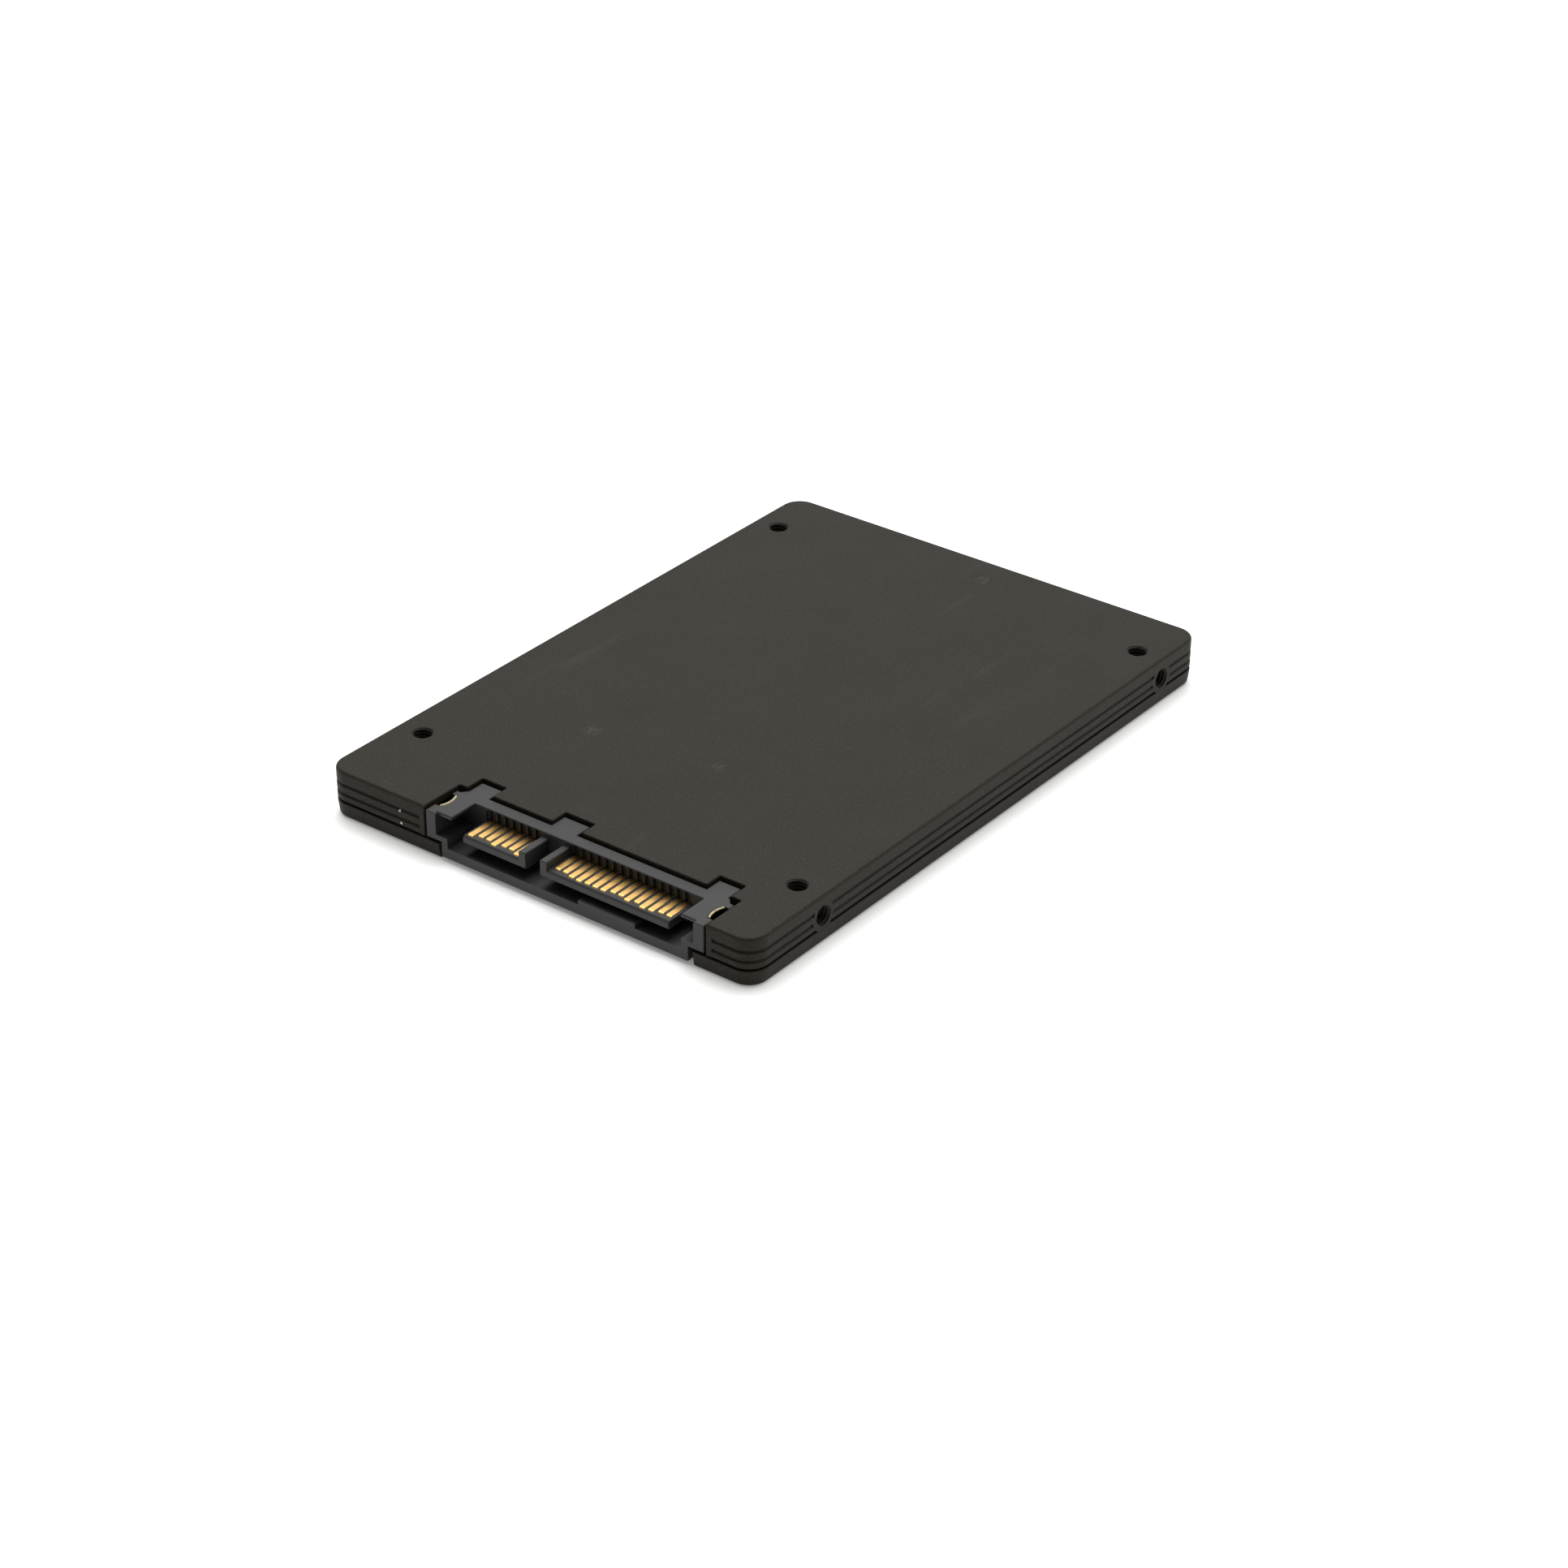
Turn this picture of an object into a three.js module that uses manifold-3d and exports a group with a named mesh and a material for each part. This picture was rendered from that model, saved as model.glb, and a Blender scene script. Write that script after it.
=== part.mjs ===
// A 2.5-inch solid state drive, 7 mm high, as an assembly of separate parts.
// Millimetres. X runs across the drive, Y away from the connector end, Z up out of the mounting face.
// The origin is the middle of the cover face, which the drive rests on.
import * as THREE from "three";
import { mergeVertices } from "three/addons/utils/BufferGeometryUtils.js";
import Module from "manifold-3d";

const wasm = await Module();
wasm.setup();

// Case: the standard outline of the 2.5-inch form factor.
const caseWidth = 69.85;
const caseLength = 100.2;
const caseHeight = 7;
const cornerRadius = 3;
const roofFillet = 0.43;
const coverFillet = 0.55;
const wallThickness = 1.5;
const roofThickness = 1;
const seamHeight = 2.25;
const seamDepth = 0.45;
const seamGap = 0.37;
const grooveHeights = [3.63, 5];
const grooveWidth = 0.5;
const grooveDepth = 0.25;
const grooveStop = 0.8;

// Threaded fastening holes, one station near each end of both long sides.
const stationX = 30.86;
const stationYs = [-caseLength / 2 + 14, -caseLength / 2 + 90.6];
const threadRadius = 1.27;
const mouthRadius = 1.55;
const faceHoleDepth = 4;
const sideHoleHeight = 4.05;
const sideHoleDepth = 3.3;
const sideHoleRadius = 1.45;
const landRadius = 2.1;
const landDepth = 4;
const bossWidth = 6.2;
const bossReach = 7;
const bossBottom = 2.6;

// Cover: a tray that closes the shell from below, with a locating rib inside the shell's wall.
const coverThickness = 0.9;
const rimThickness = 2.4;
const ribInset = 1.65;
const ribTop = 3.1;
const ribClearance = 0.3;
const ribCornerGap = 4;
const coverScrewX = 31.3;
const coverScrewYs = [-46.4, 46.4];
const coverPostRadius = 2.6;
const labelWidth = 58;
const labelLength = 84;
const labelOffsetY = 2;
const labelCorner = 1.5;
const labelThickness = 0.1;
const labelRecess = 0.15;
const labelGap = 0.1;

// Screws: 2 mm countersunk ones in the cover, 2 mm pan heads in the board.
const screwRadius = 0.85;
const screwTipChamfer = 0.3;
const screwBoreRadius = 0.95;
const screwBoreTop = 5.6;
const screwHoleRadius = 1.1;
const countersunkRadius = 1.9;
const countersunkDepth = 1;
const countersunkRim = 0.1;
const coverScrewHead = { radius: 1.7, bottom: 0.05, rim: 0.1 };
const coverScrewTip = 4.6;
const panHead = { radius: 1.8, height: 0.9, chamfer: 0.3 };
const boardScrewReach = 1.5;
const driverSlot = { width: 0.45, length: 2, coverDepth: 0.6, boardDepth: 0.5 };

// Circuit board: notched at the front to pass the mounting bosses.
const boardBottom = 2.9;
const boardTop = 3.9;
const boardHalfWidth = 32.4;
const boardNoseHalfWidth = 26.6;
const boardFront = -42.9;
const boardShoulderY = -31.9;
const boardBack = 36;
const boardScrewX = 24;
const boardScrewYs = [-37.4, 32.5];
const boardPostRadius = 2.1;

// Connector: a combined signal and power plug, its middle offset from the drive's own.
const plugCentreX = 4.8;
const plugFront = -caseLength / 2;
const plugHalfWidth = 22.5;
const plugTop = 6.6;
const armBottom = 2.7;
const armThickness = 1.6;
const armBack = -44.05;
const armPlateBottom = 6.2;
const armPlateReach = 18.6;
const armPlateSetback = 0.5;
const guideFloor = 3.5;
const shoulderX = 21.2;
const shoulderBevel = 0.7;
const railFront = -45.08;
const railBack = -43.2;
const railBottom = 1.2;
const lipBottom = 0.55;
const lipTop = 2.05;
const lipHalfWidth = 20.04;
const lipEndWidth = 1.04;
const lipStep = { left: 7.4, right: 16.5, top: 2.76 };
const tabBack = -40.65;
const tabs = [
  { left: -16.4, right: -13.05 },
  { left: -2.6, right: 1.55 },
  { left: 22.35, right: 25.7 },
];

// Openings for the connector: the shell's is stepped round the plug and its tabs, the cover's is plain.
const shellCutout = [
  { left: -18.07, right: 27.7, back: -43.1 },
  { left: -16.8, right: 26.1, back: -42.8 },
  { left: -16.8, right: -12.7, back: -40.15 },
  { left: -2.8, right: 2.04, back: -40.15 },
  { left: 22.04, right: 26.1, back: -40.15 },
];
const coverCutout = { left: -15.7, right: 25.6, back: -44.9 };

// Blade of the plug: two tongues with a key wall where they face each other.
const tongueBottom = 3.5;
const tongueTop = 4.73;
const tongueTip = -49.69;
const tongueBevel = 0.25;
const tongueRoot = 0.5;
const signalTongue = { left: -11.895, right: -1.485 };
const powerTongue = { left: 0.925, right: 21.495 };
const keyThickness = 1.1;
const keyTop = 5.9;

// Contacts: 7 signal and 15 power strips on one pitch. The longer ones mate first.
const contactPitch = 1.27;
const contactWidth = 0.84;
const contactThickness = 0.2;
const contactRise = 0.1;
const contactNose = 0.4;
const contactTail = -41.3;
const contactFoot = 1.5;
const contactStep = 0.5;
const firstSignalX = plugCentreX - 15.875;
const firstPowerX = plugCentreX - 1.905;
const signalMating = [1, 3, 3, 1, 3, 3, 1];
const powerMating = [3, 3, 2, 1, 2, 2, 2, 3, 3, 2, 3, 1, 2, 3, 3];
const matingTips = { 1: -49.3, 2: -49.15, 3: -48.75 };
const slotClearance = 0.04;
const combDepth = 0.8;
const combTop = 6.3;

// Hold-downs: bowed strips of sheet metal, each in a notch in the outer face of its arm.
// The notch's inner wall bows with the strip. The offset runs outwards from the plug's middle.
const notchFront = -48.25;
const notchBack = -45.05;
const clipOffset = 21.22;
const clipBow = 3.4;
const clipThickness = 0.35;
const clipClearance = 0.05;
const clipBottom = 3;
const clipTop = 6.64;

// Parts on the board. Chips stand on either face; thermal pads bridge the upper ones to the roof.
const chipHeight = 1.2;
const nandWidth = 12;
const nandLength = 18;
const nandXs = [-11, 11];
const nandYs = [-1, 22];
const nandPadWidth = 34;
const nandPadLength = 41;
const controller = { x: 0, y: -25, width: 14, length: 14, height: chipHeight };
const memory = { x: 15.5, y: -24.5, width: 8, length: 12, height: chipHeight };
const regulator = { x: -14.5, y: -34, width: 4, length: 4, height: 0.9 };
const oscillator = { x: -11.5, y: -26, width: 2.5, length: 3.2, height: 0.8 };
const inductors = [
  { x: -19.5, y: -32.5, width: 4, length: 4, height: 1.8 },
  { x: -19.5, y: -26, width: 4, length: 4, height: 1.8 },
  { x: 23, y: -31, width: 4, length: 4, height: 1.8 },
];
const capacitorYs = [-24, -17, -10, -3];
const capacitor = { x: -28, width: 4.3, length: 3.65, height: 1.9 };

// Facets: steps in a corner, in a full turn, across a rounded rim, round a clip's bow and across a groove.
const cornerSteps = 4;
const roundSteps = 24;
const rimSteps = 4;
const clipSteps = 72;
const grooveSteps = 2;

// Cutters reach past the surface that they open, and joined pieces sink into each other.
const overcut = 1;
const overlap = 0.5;

const contacts = [
  ...contactRow("signal_contact_", firstSignalX, signalMating),
  ...contactRow("power_contact_", firstPowerX, powerMating),
];

function contactRow(prefix, firstX, matings) {
  return matings.map((mating, n) => ({
    name: prefix + (n + 1),
    x: firstX + contactPitch * n,
    tip: matingTips[mating],
  }));
}

const materials = {
  paintedCase: finish(0x48443f, 0.62, 0.2),
  paintedCover: finish(0x423f3b, 0.6, 0.2),
  label: finish(0xd9d9d6, 0.55, 0),
  blackScrew: finish(0x2b2b2d, 0.4, 0.9),
  steelScrew: finish(0xb9bcc0, 0.35, 1),
  board: finish(0x1f4d33, 0.5, 0),
  plugPlastic: finish(0x4f4f4e, 0.55, 0),
  gold: finish(0xe0b25a, 0.25, 1),
  clip: finish(0xd8cdb0, 0.25, 1),
  chip: finish(0x232325, 0.6, 0),
  pad: finish(0x8f9aa6, 0.9, 0),
  can: finish(0xb8b9bb, 0.35, 1),
  ferrite: finish(0x3d3c3e, 0.7, 0),
  tantalum: finish(0xc98a2b, 0.5, 0),
};

function finish(color, roughness, metalness) {
  return new THREE.MeshStandardMaterial({ color, roughness, metalness });
}

// Solids: a closed geometry becomes a manifold, which can be joined and cut.
function solid(geometry) {
  const bare = geometry.clone();
  bare.deleteAttribute("normal");
  bare.deleteAttribute("uv");
  const merged = mergeVertices(bare);
  const vertProperties = merged.attributes.position.array;
  const triVerts = new Uint32Array(merged.index.array);
  return new wasm.Manifold(new wasm.Mesh({ numProp: 3, vertProperties, triVerts }));
}

function join(first, ...others) {
  return others.reduce((sum, other) => sum.add(other), first);
}

function cut(first, ...others) {
  return others.reduce((rest, other) => rest.subtract(other), first);
}

function meshOf(name, shape, material) {
  const { numProp, vertProperties, triVerts } = shape.getMesh();
  const vertices = new THREE.InterleavedBuffer(vertProperties, numProp);
  const geometry = new THREE.BufferGeometry();
  geometry.setAttribute("position", new THREE.InterleavedBufferAttribute(vertices, 3, 0));
  geometry.setIndex(new THREE.BufferAttribute(triVerts, 1));
  const flat = geometry.toNonIndexed();
  flat.computeVertexNormals();
  const mesh = new THREE.Mesh(flat, material);
  mesh.name = name;
  return mesh;
}

// A box between two corners.
function block(left, right, front, back, bottom, top) {
  const geometry = new THREE.BoxGeometry(right - left, back - front, top - bottom);
  geometry.translate((left + right) / 2, (front + back) / 2, (bottom + top) / 2);
  return solid(geometry);
}

// A round bar that stands upright at x, y.
function post(radius, x, y, bottom, top, steps = roundSteps) {
  const geometry = new THREE.CylinderGeometry(radius, radius, top - bottom, steps);
  geometry.rotateX(Math.PI / 2);
  geometry.translate(x, y, (bottom + top) / 2);
  return solid(geometry);
}

// A turned shape on an upright axis at x, y, from its profile of [radius, height] points.
function turned(profile, x, y) {
  const points = profile.map(([radius, height]) => new THREE.Vector2(radius, height));
  const geometry = new THREE.LatheGeometry(points, roundSteps);
  geometry.rotateX(Math.PI / 2);
  geometry.translate(x, y, 0);
  return solid(geometry);
}

// An outline in plan, extruded from bottom to top.
function slab(outline, bottom, top, steps = cornerSteps) {
  const options = { depth: top - bottom, bevelEnabled: false, curveSegments: steps };
  const geometry = new THREE.ExtrudeGeometry(outline, options);
  geometry.translate(0, 0, bottom);
  return solid(geometry);
}

// The same with both rims rounded to a radius.
function roundedSlab(outline, bottom, top, radius) {
  const options = {
    depth: top - bottom - 2 * radius,
    bevelThickness: radius,
    bevelSize: radius,
    bevelOffset: -radius,
    bevelSegments: rimSteps,
    curveSegments: cornerSteps,
  };
  const geometry = new THREE.ExtrudeGeometry(outline, options);
  geometry.translate(0, 0, bottom + radius);
  return solid(geometry);
}

function roundedRectangle(width, length, radius, path = new THREE.Shape()) {
  const x = width / 2 - radius;
  const y = length / 2 - radius;
  path.moveTo(-x, -y - radius);
  path.lineTo(x, -y - radius);
  path.absarc(x, -y, radius, -Math.PI / 2, 0, false);
  path.lineTo(x + radius, y);
  path.absarc(x, y, radius, 0, Math.PI / 2, false);
  path.lineTo(-x, y + radius);
  path.absarc(-x, y, radius, Math.PI / 2, Math.PI, false);
  path.lineTo(-x - radius, -y);
  path.absarc(-x, -y, radius, Math.PI, Math.PI * 1.5, false);
  return path;
}

// The case's outline, moved inwards all round.
function caseOutline(inset, path) {
  return roundedRectangle(caseWidth - 2 * inset, caseLength - 2 * inset, cornerRadius - inset, path);
}

// Everything outside the case's outline, as far as a cutter needs to reach.
function surround(inset) {
  const outside = caseOutline(-2 * overcut);
  outside.holes.push(caseOutline(inset, new THREE.Path()));
  return outside;
}

// A ring with a round nose that cuts one groove into the case's sides.
function grooveCutter(height) {
  const standoff = 0.05;
  const options = {
    depth: standoff,
    bevelThickness: grooveWidth / 2,
    bevelSize: grooveDepth + standoff,
    bevelSegments: grooveSteps,
    curveSegments: cornerSteps,
  };
  const geometry = new THREE.ExtrudeGeometry(surround(-standoff), options);
  geometry.translate(0, 0, height - standoff / 2);
  return solid(geometry);
}

// Calls back for a place on the left and one on the right, at each y.
function corners(x, ys, make) {
  return ys.flatMap((y) => [-x, x].map((side) => make(side, y)));
}

// The same, with each copy numbered in its name.
function numbered(prefix, x, ys, make) {
  const places = corners(x, ys, (cornerX, y) => [cornerX, y]);
  return places.map(([cornerX, y], n) => make(cornerX, y, prefix + (n + 1)));
}

// The shell carries the mounting face, the roof under it and the four grooved sides.
function housingShell() {
  const roof = caseHeight - roofThickness;
  let shape = roundedSlab(caseOutline(0), seamHeight - 2 * overcut, caseHeight, roofFillet);
  shape = cut(shape, slab(caseOutline(-overcut), -overcut, seamHeight));
  shape = cut(shape, sideGrooves());
  shape = cut(shape, slab(caseOutline(wallThickness), seamHeight - overcut, roof));
  shape = join(shape, ...corners(stationX, stationYs, mountingBoss));
  shape = join(shape, ...corners(coverScrewX, coverScrewYs, coverPost));
  shape = join(shape, ...corners(boardScrewX, boardScrewYs, boardPost));
  shape = cut(shape, ...shellCutout.map(cutoutStep));
  shape = cut(shape, ...corners(stationX, stationYs, faceHole));
  shape = cut(shape, ...corners(caseWidth / 2, stationYs, sideHole));
  shape = cut(shape, ...corners(coverScrewX, coverScrewYs, coverScrewBore));
  shape = cut(shape, ...corners(boardScrewX, boardScrewYs, boardScrewBore));
  return meshOf("housing_shell", shape, materials.paintedCase);
}

// A block of metal behind each pair of threaded holes, joined to the side wall and the roof.
function mountingBoss(x, y) {
  const side = Math.sign(x);
  const outer = side * (caseWidth / 2 - wallThickness / 2);
  const inner = outer - side * bossReach;
  const [left, right] = [Math.min(inner, outer), Math.max(inner, outer)];
  return block(left, right, y - bossWidth / 2, y + bossWidth / 2, bossBottom, caseHeight - overlap);
}

// Both grooves and the open seam, interrupted by the lands of the side holes and beside the plug.
function sideGrooves() {
  const seam = slab(surround(seamDepth), seamHeight - overcut, seamHeight + seamGap);
  const rings = join(seam, ...grooveHeights.map(grooveCutter));
  return cut(rings, ...corners(caseWidth / 2, stationYs, sideLand), ...grooveStops());
}

// The round land that a side hole stands in.
function sideLand(x, y) {
  const land = new THREE.CylinderGeometry(landRadius, landRadius, landDepth, roundSteps);
  land.rotateZ(Math.PI / 2);
  land.translate(x, y, sideHoleHeight);
  return solid(land);
}

function coverPost(x, y) {
  return post(coverPostRadius, x, y, seamHeight, caseHeight - overlap);
}

function boardPost(x, y) {
  return post(boardPostRadius, x, y, boardTop, caseHeight - overlap);
}

// Plain stretches where the grooves stop short of the connector's cut-out.
function grooveStops() {
  const { left, right } = shellCutout[0];
  const front = plugFront - 2 * overcut;
  const back = plugFront + overcut;
  const bottom = seamHeight + seamGap;
  return [
    block(left - grooveStop, left + overcut, front, back, bottom, caseHeight),
    block(right - overcut, right + grooveStop, front, back, bottom, caseHeight),
  ];
}

function cutoutStep({ left, right, back }) {
  return block(left, right, plugFront - overcut, back, -overcut, caseHeight + overcut);
}

// A blind threaded hole in the mounting face, with a countersunk mouth.
function faceHole(x, y) {
  const bottom = caseHeight - faceHoleDepth;
  const countersink = mouthRadius - threadRadius;
  const profile = [
    [0, bottom],
    [threadRadius, bottom],
    [threadRadius, caseHeight - countersink],
    [mouthRadius + overcut, caseHeight + overcut],
    [0, caseHeight + overcut],
  ];
  return turned(profile, x, y);
}

function sideHole(x, y) {
  const depth = sideHoleDepth + overcut;
  const bore = new THREE.CylinderGeometry(sideHoleRadius, sideHoleRadius, depth, roundSteps);
  bore.rotateZ(Math.PI / 2);
  bore.translate(x + Math.sign(x) * (overcut - depth / 2), y, sideHoleHeight);
  return solid(bore);
}

function coverScrewBore(x, y) {
  return post(screwBoreRadius, x, y, seamHeight - overcut, screwBoreTop);
}

function boardScrewBore(x, y) {
  return post(screwBoreRadius, x, y, boardTop - overcut, screwBoreTop);
}

// The cover: a shallow tray with a rounded lower edge, open in front for the plug.
function bottomCover() {
  let shape = roundedSlab(caseOutline(0), 0, caseHeight, coverFillet);
  shape = cut(shape, slab(caseOutline(-overcut), seamHeight, caseHeight + overcut));
  shape = join(shape, locatingRib());
  shape = cut(shape, slab(caseOutline(rimThickness), coverThickness, ribTop + overcut));
  shape = join(shape, ...corners(coverScrewX, coverScrewYs, coverBoss));
  shape = cut(shape, ...corners(coverScrewX, coverScrewYs, countersunkHole));
  const { left, right, back } = coverCutout;
  shape = cut(shape, block(left, right, -caseLength, back, -overcut, caseHeight));
  const width = labelWidth + 2 * labelGap;
  const recess = roundedRectangle(width, labelLength + 2 * labelGap, labelCorner + labelGap);
  const pocket = slab(recess, -overcut, labelRecess).translate([0, labelOffsetY, 0]);
  return meshOf("bottom_cover", cut(shape, pocket), materials.paintedCover);
}

// The rib stands inside the shell's wall and stops short of its bosses, posts and cut-out.
function locatingRib() {
  const top = ribTop + overcut;
  const rib = slab(caseOutline(ribInset), seamHeight - overcut, ribTop);
  const reach = bossWidth / 2 + ribClearance;
  const gap = ribCornerGap;
  const bosses = corners(stationX, stationYs, (x, y) =>
    block(x - bossReach, x + bossReach, y - reach, y + reach, seamHeight, top),
  );
  const posts = corners(coverScrewX, coverScrewYs, (x, y) =>
    post(coverPostRadius + ribClearance, x, y, seamHeight, top),
  );
  const ends = corners(caseWidth / 2, coverScrewYs, (x, y) =>
    block(x - gap, x + gap, y - gap, y + gap, seamHeight, top),
  );
  const { left, right } = shellCutout[0];
  const plug = block(left - overcut, right + overcut, -caseLength, railBack, seamHeight, top);
  return cut(rib, ...bosses, ...posts, ...ends, plug);
}

function coverBoss(x, y) {
  return post(coverPostRadius, x, y, coverThickness / 2, seamHeight);
}

function countersunkHole(x, y) {
  const profile = [
    [0, -overcut],
    [countersunkRadius, -overcut],
    [countersunkRadius, countersunkRim],
    [screwHoleRadius, countersunkDepth],
    [screwHoleRadius, seamHeight + overcut],
    [0, seamHeight + overcut],
  ];
  return turned(profile, x, y);
}

function coverScrew(x, y, name) {
  const { radius, bottom, rim } = coverScrewHead;
  const profile = [
    [0, bottom],
    [radius, bottom],
    [radius, bottom + rim],
    [screwRadius, countersunkDepth],
    [screwRadius, coverScrewTip - screwTipChamfer],
    [screwRadius - screwTipChamfer, coverScrewTip],
    [0, coverScrewTip],
  ];
  const recess = crossRecess(x, y, bottom, driverSlot.coverDepth);
  return meshOf(name, cut(turned(profile, x, y), ...recess), materials.blackScrew);
}

// Two crossed slots for the driver, cut up into a head from its lower face.
function crossRecess(x, y, face, depth) {
  const half = driverSlot.width / 2;
  const reach = driverSlot.length / 2;
  const top = face + depth;
  return [
    block(x - half, x + half, y - reach, y + reach, face - overcut, top),
    block(x - reach, x + reach, y - half, y + half, face - overcut, top),
  ];
}

function label() {
  const outline = roundedRectangle(labelWidth, labelLength, labelCorner);
  const sheet = slab(outline, labelRecess - labelThickness, labelRecess);
  return meshOf("cover_label", sheet.translate([0, labelOffsetY, 0]), materials.label);
}

function circuitBoard() {
  const outline = new THREE.Shape();
  outline.moveTo(-boardNoseHalfWidth, boardFront);
  outline.lineTo(boardNoseHalfWidth, boardFront);
  outline.lineTo(boardNoseHalfWidth, boardShoulderY);
  outline.lineTo(boardHalfWidth, boardShoulderY);
  outline.lineTo(boardHalfWidth, boardBack);
  outline.lineTo(-boardHalfWidth, boardBack);
  outline.lineTo(-boardHalfWidth, boardShoulderY);
  outline.lineTo(-boardNoseHalfWidth, boardShoulderY);
  outline.closePath();
  const holes = corners(boardScrewX, boardScrewYs, (x, y) =>
    post(screwHoleRadius, x, y, boardBottom - overcut, boardTop + overcut),
  );
  return meshOf("circuit_board", cut(slab(outline, boardBottom, boardTop), ...holes), materials.board);
}

function boardScrew(x, y, name) {
  const { radius, height, chamfer } = panHead;
  const head = boardBottom - height;
  const tip = boardTop + boardScrewReach;
  const profile = [
    [0, head],
    [radius - chamfer, head],
    [radius, head + chamfer],
    [radius, boardBottom],
    [screwRadius, boardBottom],
    [screwRadius, tip - screwTipChamfer],
    [screwRadius - screwTipChamfer, tip],
    [0, tip],
  ];
  const recess = crossRecess(x, y, head, driverSlot.boardDepth);
  return meshOf(name, cut(turned(profile, x, y), ...recess), materials.steelScrew);
}

// The plug's body: arms and rail in one plan outline, tabs behind, a lip and two tongues in front.
function connectorHousing() {
  const arms = slab(armsOutline(), armBottom, plugTop);
  const rail = block(plugX(-shoulderX), plugX(shoulderX), railFront, railBack, railBottom, plugTop);
  const [lipLeft, lipRight] = [plugX(-lipHalfWidth), plugX(lipHalfWidth)];
  const lip = block(lipLeft, lipRight, plugFront, railFront, lipBottom, guideFloor);
  let shape = join(arms, rail, lip, ...tabs.map(tab));
  shape = cut(shape, ...plugCavity());
  shape = join(shape, lipPad(), tongue(signalTongue), tongue(powerTongue));
  shape = join(shape, keyWall(signalTongue.right - keyThickness), keyWall(powerTongue.left));
  shape = cut(shape, ...clipNotches(), ...contacts.map(contactSlot));
  return meshOf("connector_housing", shape, materials.plugPlastic);
}

function plugX(fromCentre) {
  return plugCentreX + fromCentre;
}

function armsOutline() {
  const outline = new THREE.Shape();
  outline.moveTo(plugX(-plugHalfWidth), plugFront);
  outline.lineTo(plugX(plugHalfWidth), plugFront);
  outline.lineTo(plugX(plugHalfWidth), armBack);
  outline.lineTo(plugX(shoulderX + shoulderBevel), armBack);
  outline.lineTo(plugX(shoulderX), railBack);
  outline.lineTo(plugX(-shoulderX), railBack);
  outline.lineTo(plugX(-shoulderX - shoulderBevel), armBack);
  outline.lineTo(plugX(-plugHalfWidth), armBack);
  outline.closePath();
  return outline;
}

function tab({ left, right }) {
  return block(left, right, railBack - overcut, tabBack, boardTop, plugTop);
}

// Open space in front of the rail: the middle, the guides under the arms' plates, and above the lip.
function plugCavity() {
  const inner = plugHalfWidth - armThickness;
  const open = plugFront - overcut;
  const lipInner = lipHalfWidth - lipEndWidth;
  const top = plugTop + overcut;
  return [
    block(plugX(-armPlateReach), plugX(armPlateReach), open, railFront, guideFloor, top),
    block(plugX(-inner), plugX(inner), open, railFront, guideFloor, armPlateBottom),
    block(plugX(-inner), plugX(inner), open, plugFront + armPlateSetback, guideFloor, top),
    block(plugX(-lipInner), plugX(lipInner), open, railFront, lipTop, guideFloor + overcut),
  ];
}

function lipPad() {
  return block(lipStep.left, lipStep.right, plugFront, railFront, lipTop - overcut, lipStep.top);
}

// A tongue seen from the side: a flat bar with a bevelled tip, rooted in the rail.
function tongue({ left, right }) {
  const side = new THREE.Shape();
  side.moveTo(tongueTip + tongueBevel, tongueBottom);
  side.lineTo(railFront + tongueRoot, tongueBottom);
  side.lineTo(railFront + tongueRoot, tongueTop);
  side.lineTo(tongueTip + tongueBevel, tongueTop);
  side.lineTo(tongueTip, tongueTop - tongueBevel);
  side.lineTo(tongueTip, tongueBottom + tongueBevel);
  side.closePath();
  return acrossX(side, left, right);
}

// A side outline, drawn as Y and Z, extruded across the drive from left to right.
function acrossX(side, left, right) {
  const options = { depth: right - left, bevelEnabled: false, curveSegments: cornerSteps };
  const geometry = new THREE.ExtrudeGeometry(side, options);
  geometry.rotateX(Math.PI / 2);
  geometry.rotateZ(Math.PI / 2);
  geometry.translate(left, 0, 0);
  return solid(geometry);
}

function keyWall(left) {
  const bottom = tongueTop - overlap;
  return block(left, left + keyThickness, tongueTip, railFront + tongueRoot, bottom, keyTop);
}

function clipNotches() {
  const [bottom, top] = [armBottom - overcut, plugTop + overcut];
  return [-1, 1].map((side) => {
    const [left, right] = outwards(side, clipOffset - clipBow, plugHalfWidth + overcut);
    return block(left, right, notchFront, notchBack, bottom, top)
      .intersect(clipPost(side, clipBow + clipClearance, bottom, top));
  });
}

// An upright post round the middle of a strip's bow.
function clipPost(side, radius, bottom, top) {
  const x = plugX(side * (clipOffset + clipBow));
  return post(radius, x, (notchFront + notchBack) / 2, bottom, top, clipSteps);
}

// The left and right ends, in X, of a stretch between two offsets on one side of the plug's middle.
function outwards(side, near, far) {
  return side < 0 ? [plugX(-far), plugX(-near)] : [plugX(near), plugX(far)];
}

// The groove in the tongue and rail that a contact lies in, with the comb slot above its root.
function contactSlot({ x, tip }) {
  const half = contactWidth / 2 + slotClearance;
  const [left, right] = [x - half, x + half];
  const front = tip - slotClearance;
  const top = tongueTop + contactRise + slotClearance;
  const bottom = top - contactThickness - 2 * slotClearance;
  const noseBottom = top - contactNose - 2 * slotClearance;
  return join(
    block(left, right, front, railBack + overcut, bottom, top),
    block(left, right, front, tip + contactNose, noseBottom, top),
    block(left, right, railFront - overcut, railFront + combDepth, bottom, combTop),
  );
}

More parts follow.
